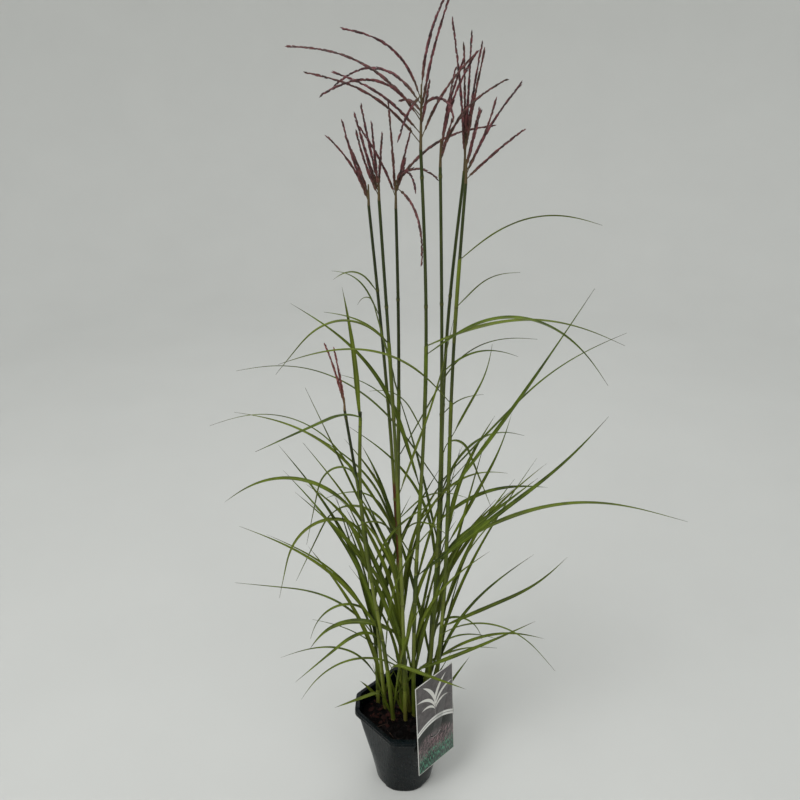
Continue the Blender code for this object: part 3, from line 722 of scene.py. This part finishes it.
def build_plumes(material, young_material, hair_material):
    """The flowering heads, each one piece."""
    for number, (name, (culm, rachis_length, racemes)) in enumerate(PLUMES.items()):
        draw = random.Random(PLUME_SEED + number)
        shape = Shape()
        foot = STEMS[culm].head
        radius, loss = RACHIS_RADIUS
        steps = range(RACHIS_STEPS + 1)
        stalk = [foot + raised(rachis_length * i / RACHIS_STEPS) for i in steps]
        radii = [radius - loss * i / RACHIS_STEPS for i in steps]
        shape.add(rod(stalk, radii, RACHIS_SIDES), along=0.0, across=-1.0, tone=0.5)
        for above, heading, length, rise, fall in racemes:
            count = max(RACEME_LEAST_POINTS, int(length / RACEME_POINT_STEP))
            path = arch(foot + raised(above), heading, length, rise, fall, 0.0, 1.0, count)
            add_raceme(shape, path, length, draw)
        young = name == YOUNG_PLUME
        kind = young_material if young else material
        slot = "young_plume_pink" if young else "plume_purple"
        shape.piece(name.replace("panicle", "plume"), [kind, hair_material], slot, name)


def soft_least(values, softness):
    """The least of the values, with the change from one to the next rounded off."""
    return -softness * math.log(sum(math.exp(-value / softness) for value in values))


def face_distance(angle, flat, chamfer):
    """Distance from the axis to an eight-sided outline with four long and four short sides."""
    reach = []
    for side in range(4):
        for middle, distance in ((math.pi / 4, flat), (0.0, chamfer)):
            lean = math.cos(angle - middle - side * math.pi / 2)
            if lean > FACING_LEAST:
                reach.append(distance / lean)
    return soft_least(reach, CORNER_SOFTNESS)


def body_distance(angle, height):
    """Distance from the axis to the outside of the pot's wall under the lip."""
    drop = RIM_HEIGHT - LIP_DEPTH - height
    flat = BODY_FLAT - FLAT_SLOPE * drop
    chamfer = BODY_CHAMFER - CHAMFER_SLOPE * drop
    cone = BASE_RADIUS + CONE_SLOPE * height + CONE_FLARE * height * height
    return soft_least((face_distance(angle, flat, chamfer), cone), CORNER_SOFTNESS)


def ring_round(distance_at, height_at, count=POT_ANGLES):
    """A ring of corners round the pot's axis."""
    angles = [math.tau * k / count for k in range(count)]
    return [around(angle, distance_at(angle), height_at(angle)) for angle in angles]


def lip_ring(inset, height):
    """A ring of the lip's outline, brought in by the inset."""
    return ring_round(lambda a: face_distance(a, RIM_FLAT - inset, RIM_CHAMFER - inset), lambda a: height)


def wall_ring(inset, height, count=POT_ANGLES):
    """A ring of the wall's outline at its height, brought in by the inset."""
    return ring_round(lambda a: body_distance(a, height) - inset, lambda a: height, count)


def foot_lift(angle):
    """How far the base edge is lifted over the drain channels."""
    lift = 0.0
    for middle in DRAIN_MIDDLES:
        away = abs((angle - middle + math.pi) % math.tau - math.pi)
        edge = math.radians(DRAIN_WIDTH_ANGLE / 2)
        lift = max(lift, DRAIN_DEPTH * smooth((edge - away) / math.radians(DRAIN_EDGE) + 0.5))
    return lift


def pot_rings():
    """From the middle of the base out, up the wall, over the lip and down the inside to the floor."""
    under_lip = RIM_HEIGHT - LIP_DEPTH
    rings = [ring_round(lambda a, r=r: r, lambda a: 0.0) for r in BASE_RADII]
    rings += [ring_round(lambda a, r=r: r, foot_lift) for r in CHANNEL_RADII]
    for share in BASE_ROUNDING:
        inset = BASE_INSET * (1 - math.sin(share * math.pi / 2))
        rise = BASE_RISE * (1 - math.cos(share * math.pi / 2))
        rings.append(ring_round(
            lambda a, i=inset, r=rise: body_distance(a, r) - i,
            lambda a, r=rise: foot_lift(a) + r,
        ))
    rings += [wall_ring(0.0, height) for height in (*OUTER_LEVELS, under_lip - 1.2)]
    rings.append(wall_ring(-0.35, under_lip - 0.3))     # a small swell into the lip
    rings += [lip_ring(inset, under_lip + rise) for inset, rise in LIP_BELOW]
    rings += [lip_ring(inset, under_lip + LIP_GROOVE + rise) for inset, rise in LIP_LINE]
    rings += [lip_ring(inset, RIM_HEIGHT + rise) for inset, rise in LIP_TOP]
    rings.append(ring_round(lambda a: body_distance(a, under_lip) - WALL + 0.5, lambda a: RIM_HEIGHT - 0.5))
    rings.append(ring_round(lambda a: body_distance(a, under_lip) - WALL, lambda a: RIM_HEIGHT - 1.4))
    rings += [wall_ring(WALL, height) for height in (*INNER_LEVELS, FLOOR_THICKNESS + 1)]
    rings.append(wall_ring(WALL + 1.0, FLOOR_THICKNESS))
    rings.append(ring_round(lambda a: 0.5, lambda a: FLOOR_THICKNESS))
    return rings


def build_pot(material):
    """The nursery pot, with its drain holes cut through."""
    shape = Shape()
    shape.add(loft(pot_rings()))
    holes = Shape()
    for middle in DRAIN_MIDDLES:
        path = [around(middle, DRAIN_HOLE_DISTANCE, height) for height in DRAIN_CUT]
        holes.add(rod(path, [DRAIN_HOLE_RADIUS] * 2, DRAIN_HOLE_SIDES))
    pot = shape.piece("square_pot", [material], "pot_plastic", "pot")
    cut_out(pot, holes, "drain_holes", material)


def cut_out(target, cutter_shape, name, material):
    """Cuts the shape out of the target for good."""
    cutter = cutter_shape.object(name, [material])
    step = target.modifiers.new(name, "BOOLEAN")
    step.operation = "DIFFERENCE"
    step.object = cutter
    graph = bpy.context.evaluated_depsgraph_get()
    done = bpy.data.meshes.new_from_object(target.evaluated_get(graph))
    target.modifiers.remove(step)
    target.data = done
    bpy.data.objects.remove(cutter)


def soil_height(x, y):
    """The uneven top of the potting mix."""
    bumps = (high * noise.noise(Vector((x * close, y * close, where))) for close, high, where in SOIL_BUMPS)
    return sum(bumps, start=SOIL_TOP)


def soil_spot(draw, margin):
    """A point on the potting mix, as far inside the wall as the margin says."""
    angle = draw.random() * math.tau
    reach = body_distance(angle, SOIL_TOP) - WALL - margin
    distance = reach * math.sqrt(draw.random())
    x, y = distance * math.cos(angle), distance * math.sin(angle)
    return Vector((x, y, soil_height(x, y)))


def chip(draw, length):
    """A flat broken flake of bark, its outline uneven."""
    sides = draw.choice(CHIP_SIDES)
    slim = draw.uniform(*CHIP_SLIM)
    thick = length * draw.uniform(*CHIP_THICK)
    reach = [draw.uniform(*CHIP_REACH) * length / 2 for _ in range(sides)]
    rings = []
    for level, share in CHIP_LEVELS:
        ring = []
        for k in range(sides):
            angle = math.tau * k / sides
            wobble = share * draw.uniform(*CHIP_WOBBLE)
            rise = level * thick * draw.uniform(*CHIP_RISE)
            corner = Vector((reach[k] * math.cos(angle), reach[k] * math.sin(angle) * slim, rise))
            corner.x *= wobble
            corner.y *= wobble
            ring.append(corner)
        rings.append(ring)
    return loft(rings)


def scatter(shape, draw, count, sizes, tilt, kind):
    """Lays chips on the potting mix at all angles."""
    for _ in range(count):
        size = draw.uniform(*sizes)
        spot = soil_spot(draw, size * 0.5 + CHIP_MARGIN)
        turn = Matrix.Rotation(draw.random() * math.tau, 3, "Z")
        for axis in "XY":
            turn = turn @ Matrix.Rotation(draw.uniform(-tilt, tilt), 3, axis)
        corners, faces = chip(draw, size)
        lift = raised(size * CHIP_LIFT)
        laid = [spot + lift + turn @ corner for corner in corners]
        # painted shade: chips on the front right half are darkened as if in shade
        painted_shade = 1.0 if spot.x < spot.y else PAINTED_SHADE_TONE
        shape.add((laid, faces), kind=kind, tone=draw.random() * painted_shade)


def build_soil(peat, bark, straw):
    """The potting mix: a crumbly body with bark chips, crumbs and bits of straw lying on it."""
    shape = Shape()
    rings = []
    inset = WALL + SOIL_GAP
    for i in range(SOIL_RINGS):
        share = max(SOIL_MIDDLE, i / (SOIL_RINGS - 1)) ** SOIL_CROWDING
        flat = [corner * share for corner in wall_ring(inset, SOIL_TOP, SOIL_SIDES)]
        rings.append([Vector((corner.x, corner.y, soil_height(corner.x, corner.y))) for corner in flat])
    for height in (*SOIL_LEVELS, FLOOR_THICKNESS + SOIL_GAP):
        rings.append(wall_ring(inset, height, SOIL_SIDES))
    shape.add(loft(rings), tone=0.3)
    draw = random.Random(SOIL_SEED)
    scatter(shape, draw, CHIP_COUNT, CHIP_SIZES, CHIP_TILT, 1)
    scatter(shape, draw, CRUMB_COUNT, CRUMB_SIZES, CRUMB_TILT, 0)
    for _ in range(STRAW_COUNT):
        spot = soil_spot(draw, STRAW_MARGIN)
        heading = draw.random() * 360
        length = draw.uniform(*STRAW_LENGTHS)
        start = spot - bearing(heading) * (length / 2) + raised(STRAW_LIFT)
        path = arch(start, heading, length, *STRAW_LEANS, 0.0, 1.0, len(STRAW_RADII))
        shape.add(rod(path, STRAW_RADII, 5), kind=2, tone=draw.random())
    shape.piece("bark_mix", [peat, bark, straw], "bark_and_peat", "potting_mix")


def build_label(print_material, slit_material):
    """The hanging tag: a thin plastic slab with rounded corners and the curved slit that hooks it on."""
    lean = math.radians(LABEL_TILT)
    height = (LABEL_TOP - LABEL_BOTTOM) / math.cos(lean)
    middle = (LABEL_TOP + LABEL_BOTTOM) / 2
    outline = []
    for sx, sz, start in ((1, 1, 0), (-1, 1, 90), (-1, -1, 180), (1, -1, 270)):
        for step in range(LABEL_CORNER_STEPS + 1):
            angle = math.radians(start + 90 / LABEL_CORNER_STEPS * step)
            outline.append((
                sx * (LABEL_WIDTH / 2 - LABEL_CORNER) + LABEL_CORNER * math.cos(angle),
                sz * (height / 2 - LABEL_CORNER) + LABEL_CORNER * math.sin(angle),
            ))
    rings = []
    half_width, half_height = LABEL_HALVES
    for depth, inset in LABEL_EDGES:
        rings.append([
            Vector((depth * LABEL_THICKNESS, s * (1 - inset / half_width), h * (1 - inset / half_height)))
            for s, h in outline
        ])
    shape = Shape()
    shape.add(loft(rings))
    label = shape.piece("hang_label", [print_material], "printed_plastic", "plant_label")
    slit = Shape()
    half = math.radians(SLIT_SPREAD) / 2
    rings = []
    for i in range(SLIT_STEPS + 1):
        angle = -half + 2 * half * i / SLIT_STEPS
        rings.append([
            Vector((
                depth,
                SLIT_SHIFT + math.sin(angle) * radius,
                SLIT_HEIGHT - middle - math.cos(angle) * radius,
            ))
            for radius, depth in (
                (SLIT_RADIUS - SLIT_WIDTH / 2, -SLIT_REACH), (SLIT_RADIUS + SLIT_WIDTH / 2, -SLIT_REACH),
                (SLIT_RADIUS + SLIT_WIDTH / 2, SLIT_REACH), (SLIT_RADIUS - SLIT_WIDTH / 2, SLIT_REACH),
            )
        ])
    slit.add(loft(rings))
    cut_out(label, slit, "hook_slit", slit_material)
    out = LABEL_DISTANCE + math.tan(lean) * (middle - RIM_HEIGHT)
    label.matrix_world = (
        Matrix.Rotation(math.radians(LABEL_FACING), 4, "Z")
        @ Matrix.Translation(Vector((out, 0.0, middle)) * MM)
        @ Matrix.Rotation(lean, 4, "Y")
    )


class Look:
    """A Principled material put together from nodes. Colours are given as sRGB values from 0 to 255."""

    def __init__(self, name):
        self.material = bpy.data.materials.new(name)
        self.material.use_nodes = True
        self.tree = self.material.node_tree
        self.shader = self.tree.nodes["Principled BSDF"]

    def node(self, kind, inputs, out=0, **settings):
        """A node with its inputs, each a number, a colour or another node's output. Returns an output."""
        made = self.tree.nodes.new("ShaderNode" + kind)
        for name, value in settings.items():
            setattr(made, name, value)
        for socket, value in inputs.items():
            if isinstance(value, bpy.types.NodeSocket):
                self.tree.links.new(value, made.inputs[socket])
            else:
                made.inputs[socket].default_value = value
        return made.outputs[out]

    def value(self, name):
        """A number that the mesh's corners carry."""
        return self.node("Attribute", {}, out=2, attribute_name=name)

    def math(self, operation, *values):
        """One step of arithmetic."""
        return self.node("Math", dict(enumerate(values)), operation=operation)

    def ramp(self, value, low, high, to_low=0.0, to_high=1.0):
        """Turns low..high into to_low..to_high, softly, and holds it outside."""
        inputs = {0: value, 1: low, 2: high, 3: to_low, 4: to_high}
        return self.node("MapRange", inputs, interpolation_type="SMOOTHSTEP")

    def mix(self, share, low, high):
        """From the colour low to the colour high."""
        ends = [end if isinstance(end, bpy.types.NodeSocket) else srgb(end) for end in (low, high)]
        return self.node("Mix", {0: share, 6: ends[0], 7: ends[1]}, out=2, data_type="RGBA")

    def between(self, value, low, high, soft):
        """1 between low and high, softly 0 outside."""
        after = self.ramp(value, low - soft, low + soft)
        before = self.ramp(value, high - soft, high + soft, 1.0, 0.0)
        return self.math("MULTIPLY", after, before)

    def place(self, *stretch):
        """Position on the piece in millimetres, stretched."""
        spot = self.node("TexCoord", {}, out=3)
        return self.node("VectorMath", {0: spot, 1: [1000.0 * s for s in stretch]}, operation="MULTIPLY")

    def noise(self, place, scale, detail=3.0):
        """Smooth random numbers around a half."""
        return self.node("TexNoise", {"Vector": place, "Scale": scale, "Detail": detail})

    def grain(self, scale, detail=3.0, stretch=(1, 1, 1)):
        """The same, fixed to the piece."""
        return self.noise(self.place(*stretch), scale, detail)

    def finish(self, colour, roughness, height, depth, specular=0.5):
        """Sets the shader. Depth is the bump's height in millimetres."""
        shader = self.shader
        given = {"Base Color": colour, "Roughness": roughness, "Specular IOR Level": specular}
        given["Normal"] = self.node("Bump", {"Strength": 1.0, "Distance": depth * MM, "Height": height})
        for socket, value in given.items():
            if isinstance(value, bpy.types.NodeSocket):
                self.tree.links.new(value, shader.inputs[socket])
            else:
                shader.inputs[socket].default_value = value
        return self.material


def srgb(colour):
    """A linear colour from sRGB values."""
    linear = [(c / 255 / 12.92) if c <= 10 else ((c / 255 + 0.055) / 1.055) ** 2.4 for c in colour]
    return (*linear, 1.0)


def leaf_look():
    """Green blades with a pale rib, fine lengthwise veins and a dry tip."""
    look = Look("leaf_green")
    along_it, across_it, tone = look.value("along"), look.value("across"), look.value("tone")
    away = look.math("ABSOLUTE", across_it)
    patches = look.grain(0.035, stretch=(1, 1, 0.5))
    colour = look.mix(look.ramp(patches, 0.3, 0.7), (42, 57, 8), (96, 115, 20))
    colour = look.mix(look.math("MULTIPLY", tone, 0.5), colour, (124, 134, 32))
    wide, long = look.math("MULTIPLY", across_it, 14.0), look.math("MULTIPLY", along_it, 9.0)
    streaks = look.noise(look.node("CombineXYZ", {0: wide, 1: long, 2: tone}), 1.0)
    colour = look.mix(look.ramp(streaks, 0.35, 0.75, 0.0, 0.45), colour, (20, 30, 8))
    rib = look.ramp(away, 0.06, 0.17, 1.0, 0.0)
    colour = look.mix(look.math("MULTIPLY", rib, 0.55), colour, (118, 130, 54))
    edge = look.ramp(away, 0.86, 1.0, 0.0, 0.35)
    colour = look.mix(edge, colour, (84, 90, 36))
    dry = look.math("ADD", along_it, look.math("MULTIPLY", streaks, 0.06))
    colour = look.mix(look.ramp(dry, 0.92, 1.02, 0.0, 0.85), colour, (66, 58, 40))
    sheath_part = look.ramp(along_it, -0.12, 0.0, 0.35, 0.0)
    colour = look.mix(sheath_part, colour, (84, 88, 40))
    wave = look.math("SINE", look.math("MULTIPLY", across_it, 46.0))
    height = look.math("ADD", look.math("MULTIPLY", wave, 0.35), streaks)
    rough = look.ramp(patches, 0.3, 0.7, 0.45, 0.6)
    return look.finish(colour, rough, height, 0.12, 0.3)


def stem_look():
    """Culms: green, streaked lengthwise, with brown stretches and ringed nodes."""
    look = Look("culm_green")
    along_it, state, tone = look.value("along"), look.value("across"), look.value("tone")
    patches = look.grain(0.09, stretch=(1, 1, 0.12))
    streaks = look.grain(1.1, stretch=(1, 1, 0.02))
    colour = look.mix(look.ramp(along_it, 0.3, 0.85), (130, 140, 58), (28, 38, 10))
    colour = look.mix(look.math("MULTIPLY", tone, 0.4), colour, (62, 76, 20))
    colour = look.mix(look.ramp(patches, 0.4, 0.7, 0.0, 0.4), colour, (36, 46, 14))
    colour = look.mix(look.ramp(streaks, 0.45, 0.75, 0.0, 0.4), colour, (92, 94, 44))
    colour = look.mix(look.ramp(along_it, 0.01, 0.06, 0.5, 0.0), colour, (104, 84, 46))
    colour = look.mix(look.ramp(state, 0.05, 0.9, 0.0, 0.95), colour, (92, 46, 26))
    node_part = look.ramp(state, -1.0, -0.4, 0.7, 0.0)
    colour = look.mix(node_part, colour, (86, 84, 34))
    rough = look.ramp(patches, 0.3, 0.7, 0.38, 0.55)
    return look.finish(colour, rough, streaks, 0.08, 0.3)


def plume_look(name, dark, bright, base):
    """Spikelets from a dark to a bright colour, and the axis they sit on."""
    look = Look(name)
    along_it, kind, tone = look.value("along"), look.value("across"), look.value("tone")
    specks = look.grain(0.9)
    share = look.math("ADD", look.math("MULTIPLY", kind, 0.65), look.math("MULTIPLY", specks, 0.5))
    colour = look.mix(look.ramp(share, 0.2, 0.95), dark, bright)
    colour = look.mix(look.math("MULTIPLY", tone, 0.25), colour, base)
    axis_part = look.ramp(kind, -0.9, -0.1, 1.0, 0.0)
    colour = look.mix(look.ramp(along_it, 0.0, 0.3, 0.6, 0.0), colour, base)
    colour = look.mix(axis_part, colour, look.mix(look.ramp(along_it, 0.0, 0.5), base, dark))
    grain = look.grain(2.5)
    return look.finish(colour, look.ramp(specks, 0.3, 0.7, 0.5, 0.7), grain, 0.08)


def hair_look():
    """Silky hairs, slightly clear."""
    look = Look("plume_hair")
    specks = look.grain(0.3)
    colour = look.mix(specks, (150, 110, 108), (200, 178, 168))
    return look.finish(colour, look.ramp(specks, 0.3, 0.7, 0.35, 0.5), specks, 0.02)


def pot_look():
    """Satin dark plastic with a faint grain, rubbed and dusty in places."""
    look = Look("pot_plastic")
    height_in_room = look.node("SeparateXYZ", {0: look.place(1, 1, 1)}, out=2)
    clouds = look.grain(0.03)
    runs = look.grain(0.35, stretch=(1, 1, 0.08))
    specks = look.grain(0.3, 1.0)
    grain = look.grain(1.2, 2.0)
    colour = look.mix(look.ramp(clouds, 0.3, 0.7), (3, 9, 11), (6, 16, 19))
    colour = look.mix(look.ramp(runs, 0.6, 0.9, 0.0, 0.06), colour, (24, 33, 35))
    low_down = look.ramp(height_in_room, 5.0, 60.0, 0.2, 0.03)
    dust = look.math("MULTIPLY", look.ramp(specks, 0.62, 0.75), low_down)
    colour = look.mix(dust, colour, (62, 62, 56))
    colour = look.mix(look.ramp(specks, 0.24, 0.17, 0.0, 0.5), colour, (12, 12, 11))
    rough = look.math("ADD", look.ramp(runs, 0.3, 0.7, 0.2, 0.3), look.math("MULTIPLY", dust, 0.3))
    return look.finish(colour, rough, grain, 0.0006, 0.1)


def peat_look():
    """Near-black peat with brown fibres."""
    look = Look("bark_and_peat")
    clumps = look.grain(0.2, 6.0)
    grain = look.grain(1.4, 6.0)
    colour = look.mix(look.ramp(clumps, 0.35, 0.7), (4, 3, 3), (12, 8, 7))
    colour = look.mix(look.ramp(grain, 0.55, 0.75, 0.0, 0.7), colour, (24, 15, 12))
    return look.finish(colour, look.ramp(grain, 0.3, 0.7, 0.8, 0.95), grain, 1.0, 0.08)


def bark_look():
    """Bark chips, each its own brown, and darker on the front right, where shade is painted into their tone.
    """
    look = Look("bark_chips")
    tone = look.value("tone")
    layers = look.grain(0.5, 6.0, (1, 1, 4))
    colour = look.mix(look.ramp(tone, 0.15, 0.9), (6, 4, 4), (46, 19, 13))
    colour = look.mix(look.ramp(tone, 0.95, 0.99), colour, (70, 36, 22))
    colour = look.mix(look.ramp(layers, 0.45, 0.75, 0.0, 0.75), colour, (12, 8, 6))
    return look.finish(colour, look.ramp(layers, 0.3, 0.7, 0.7, 0.9), layers, 0.8, 0.15)


def straw_look():
    """Dry bits of stalk and root."""
    look = Look("dry_straw")
    tone = look.value("tone")
    streaks = look.grain(0.8)
    colour = look.mix(tone, (26, 16, 11), (66, 44, 28))
    colour = look.mix(look.ramp(streaks, 0.4, 0.7, 0.0, 0.6), colour, (70, 44, 28))
    return look.finish(colour, look.ramp(streaks, 0.3, 0.7, 0.6, 0.8), streaks, 0.2)


def stroke(look, y, z, centre, radius, half_width, span):
    """1 on an arc that tapers to its ends: span is the range of angles in degrees."""
    dy, dz = look.math("SUBTRACT", y, centre[0]), look.math("SUBTRACT", z, centre[1])
    squares = (look.math("MULTIPLY", side, side) for side in (dy, dz))
    distance = look.math("SQRT", look.math("ADD", *squares))
    angle = look.math("ARCTAN2", dz, dy)
    low, high = math.radians(span[0]), math.radians(span[1])
    share = look.node("MapRange", {0: angle, 1: low, 2: high, 3: -1.0, 4: 1.0})
    body = look.math("SUBTRACT", 1.0, look.math("MULTIPLY", share, share))
    off = look.math("ABSOLUTE", look.math("SUBTRACT", distance, radius))
    edge = look.math("SUBTRACT", look.math("MULTIPLY", body, half_width), off)
    return look.ramp(edge, -0.1, 0.1)


# White grass blades on the label: centre of the arc (across, up), its radius, half its width, its angles.
SPRIG = (
    ((52.0, 2.0), 53.0, 2.4, (126, 178)), ((-52.0, 2.0), 53.0, 2.4, (2, 54)),
    ((30.0, -4.0), 30.0, 2.1, (86, 172)), ((-30.0, -4.0), 30.0, 2.1, (8, 94)),
    ((17.0, -8.0), 17.5, 1.7, (66, 160)), ((-17.0, -8.0), 17.5, 1.7, (20, 114)),
)
SPRIG_FOOT = (0.0, 24.0)
SPRIG_SCALE = 1.15
BAND_BOW = -0.0085  # the printed band's level falls away from its middle
BAND_SLOPE = -0.045
BAND_EDGES = (-0.5, 3.4, 4.6, 8.5)  # white, a grey line, white
BAND_SOFT = 0.15
BORDER = (1.2, 1.0)  # distances from the card's edge between which the print ends


def label_look():
    """A printed card: pale border, a mottled panel with grass blades, a bowed band, a picture of plumes."""
    look = Look("printed_plastic")
    parts = look.place(1, 1, 1)
    x, y, z = (look.node("SeparateXYZ", {0: parts}, out=i) for i in range(3))
    mottle = look.noise(parts, 0.12, 4.0)
    fine = look.noise(parts, 0.9, 4.0)
    colour = look.mix(look.ramp(mottle, 0.3, 0.7), (74, 70, 70), (98, 93, 93))
    colour = look.mix(look.ramp(fine, 0.45, 0.7, 0.0, 0.45), colour, (50, 48, 49))
    across, up = (
        look.math("DIVIDE", look.math("SUBTRACT", spot, foot), SPRIG_SCALE)
        for spot, foot in zip((y, z), SPRIG_FOOT)
    )
    for row in SPRIG:
        colour = look.mix(stroke(look, across, up, *row), colour, (214, 212, 206))
    bow = look.math("MULTIPLY", look.math("MULTIPLY", y, y), BAND_BOW)
    level = look.math("SUBTRACT", look.math("SUBTRACT", z, bow), look.math("MULTIPLY", y, BAND_SLOPE))
    leaning = look.math("SUBTRACT", y, look.math("MULTIPLY", z, 0.5))
    streaks = look.noise(look.node("CombineXYZ", {0: leaning, 1: look.math("MULTIPLY", z, 0.12)}), 0.95, 4.0)
    blades = look.noise(look.node("CombineXYZ", {0: y, 1: look.math("MULTIPLY", z, 0.14)}), 0.9, 4.0)
    picture = look.mix(look.ramp(fine, 0.35, 0.65), (34, 34, 33), (62, 58, 58))
    picture = look.mix(look.ramp(streaks, 0.5, 0.62), picture, look.mix(fine, (128, 92, 98), (186, 160, 162)))
    edge = look.math("ADD", z, look.math("MULTIPLY", blades, -70.0))
    grass = look.mix(look.ramp(blades, 0.5, 0.62), (10, 26, 20), (84, 158, 126))
    picture = look.mix(look.ramp(edge, -98.0, -86.0, 1.0, 0.0), picture, grass)
    shade = look.math("ADD", level, look.math("MULTIPLY", blades, 14.0))
    picture = look.mix(look.ramp(shade, -18.0, -6.0, 0.0, 0.95), picture, (17, 25, 19))
    first, grey, white, last = BAND_EDGES
    colour = look.mix(look.ramp(level, first - BAND_SOFT, first + BAND_SOFT), picture, colour)
    band = look.between(level, first, last, BAND_SOFT)
    line = look.between(level, grey, white, BAND_SOFT)
    colour = look.mix(band, colour, (214, 213, 209))
    colour = look.mix(line, colour, (104, 106, 104))
    inside = (
        look.ramp(look.math("ABSOLUTE", spot), size / 2 - BORDER[0], size / 2 - BORDER[1], 1.0, 0.0)
        for spot, size in ((y, LABEL_WIDTH), (z, LABEL_TOP - LABEL_BOTTOM))
    )
    front = look.ramp(x, 0.3, 0.34)
    printed = look.math("MULTIPLY", front, look.math("MULTIPLY", *inside))
    colour = look.mix(printed, look.mix(fine, (196, 195, 190), (216, 215, 210)), colour)
    grain = look.noise(parts, 2.2)
    return look.finish(colour, look.ramp(mottle, 0.3, 0.7, 0.3, 0.42), grain, 0.02)


# The room: a round floor that bends up into a wall, open at the top
ROOM_RADIUS = 3600.0
ROOM_BEND = 1300.0
ROOM_HEIGHT = 5200.0
ROOM_SIDES = 96
ROOM_RADII = (1.0, 800.0, 2000.0, ROOM_RADIUS - ROOM_BEND)
BEND_STEPS = 12
FLOOR_LEVEL = -0.1
CAMERA_PLACE = (0.013, -0.898, 1.098)
CAMERA_LEAN = 64.4  # degrees from straight down
CAMERA_TURN = 1.26
CAMERA_LENS = 35.3
FILM_WIDTH = 36.0
AIM_HEIGHT = 0.55  # where the lamps point
WORLD_STRENGTH = 0.66
LAMPS = (
    ("key_light", (-1.3, -1.5, 3.4), 1.6, 74.0),
    ("fill_light", (1.8, -1.9, 2.9), 2.2, 18.0),
    ("back_light", (0.5, 2.0, 3.2), 2.4, 30.0),
)


def studio(frame_box):
    """A plain pale floor, soft light and the camera."""
    look = Look("studio_floor")
    clouds = look.grain(0.004)
    floor_material = look.finish(
        look.mix(clouds, (196, 197, 194), (202, 203, 200)), look.ramp(clouds, 0.3, 0.7, 0.8, 0.9), clouds, 0.1
    )
    room = Shape()
    rings = [ring_round(lambda a, r=r: r, lambda a: FLOOR_LEVEL, ROOM_SIDES) for r in ROOM_RADII]
    for step in range(1, BEND_STEPS + 1):
        angle = math.radians(90 * step / BEND_STEPS)
        reach = ROOM_RADIUS - ROOM_BEND * (1 - math.sin(angle))
        rise = ROOM_BEND * (1 - math.cos(angle)) + FLOOR_LEVEL
        rings.append(ring_round(lambda a, r=reach: r, lambda a, h=rise: h, ROOM_SIDES))
    rings.append(ring_round(lambda a: ROOM_RADIUS, lambda a: ROOM_HEIGHT, ROOM_SIDES))
    corners, faces = loft(rings)
    room.add((corners, faces[:-1]))
    room.object("studio_room", [floor_material])
    world = bpy.data.worlds.new("studio")
    world.use_nodes = True
    sky = world.node_tree.nodes["Background"].inputs
    sky["Color"].default_value = srgb((225, 228, 230))
    sky["Strength"].default_value = WORLD_STRENGTH
    bpy.context.scene.world = world
    middle = Vector((sum(frame_box[i][0] for i in (0, 1)) / 2, 0.0, AIM_HEIGHT))
    for name, place, size, power in LAMPS:
        lamp = bpy.data.lights.new(name, "AREA")
        lamp.shape = "SQUARE"
        lamp.size = size
        lamp.energy = power
        lamp_object = bpy.data.objects.new(name, lamp)
        lamp_object.location = place
        lamp_object.visible_camera = False
        lamp_object.rotation_euler = (middle - Vector(place)).to_track_quat("-Z", "Y").to_euler()
        bpy.context.scene.collection.objects.link(lamp_object)
    camera = bpy.data.cameras.new("camera")
    camera.lens = CAMERA_LENS
    camera.sensor_width = FILM_WIDTH
    camera_object = bpy.data.objects.new("camera", camera)
    camera_object.location = CAMERA_PLACE
    camera_object.rotation_euler = (math.radians(CAMERA_LEAN), 0.0, math.radians(CAMERA_TURN))
    bpy.context.scene.collection.objects.link(camera_object)
    bpy.context.scene.camera = camera_object
    bpy.context.scene.view_settings.view_transform = "Standard"


def main():
    """Builds every piece, then the room, its lights and the camera."""
    leaf, stem = leaf_look(), stem_look()
    purple = plume_look("plume_purple", (38, 14, 17), (112, 56, 60), (84, 70, 38))
    pink = plume_look("young_plume_pink", (84, 30, 34), (150, 84, 82), (104, 80, 48))
    hairs, pot, peat, bark, straw = hair_look(), pot_look(), peat_look(), bark_look(), straw_look()
    printed = label_look()
    build_stems(stem)
    build_leaves(leaf)
    build_plumes(purple, pink, hairs)
    build_pot(pot)
    build_soil(peat, bark, straw)
    build_label(printed, pot)
    studio(CAD_BOX)


main()
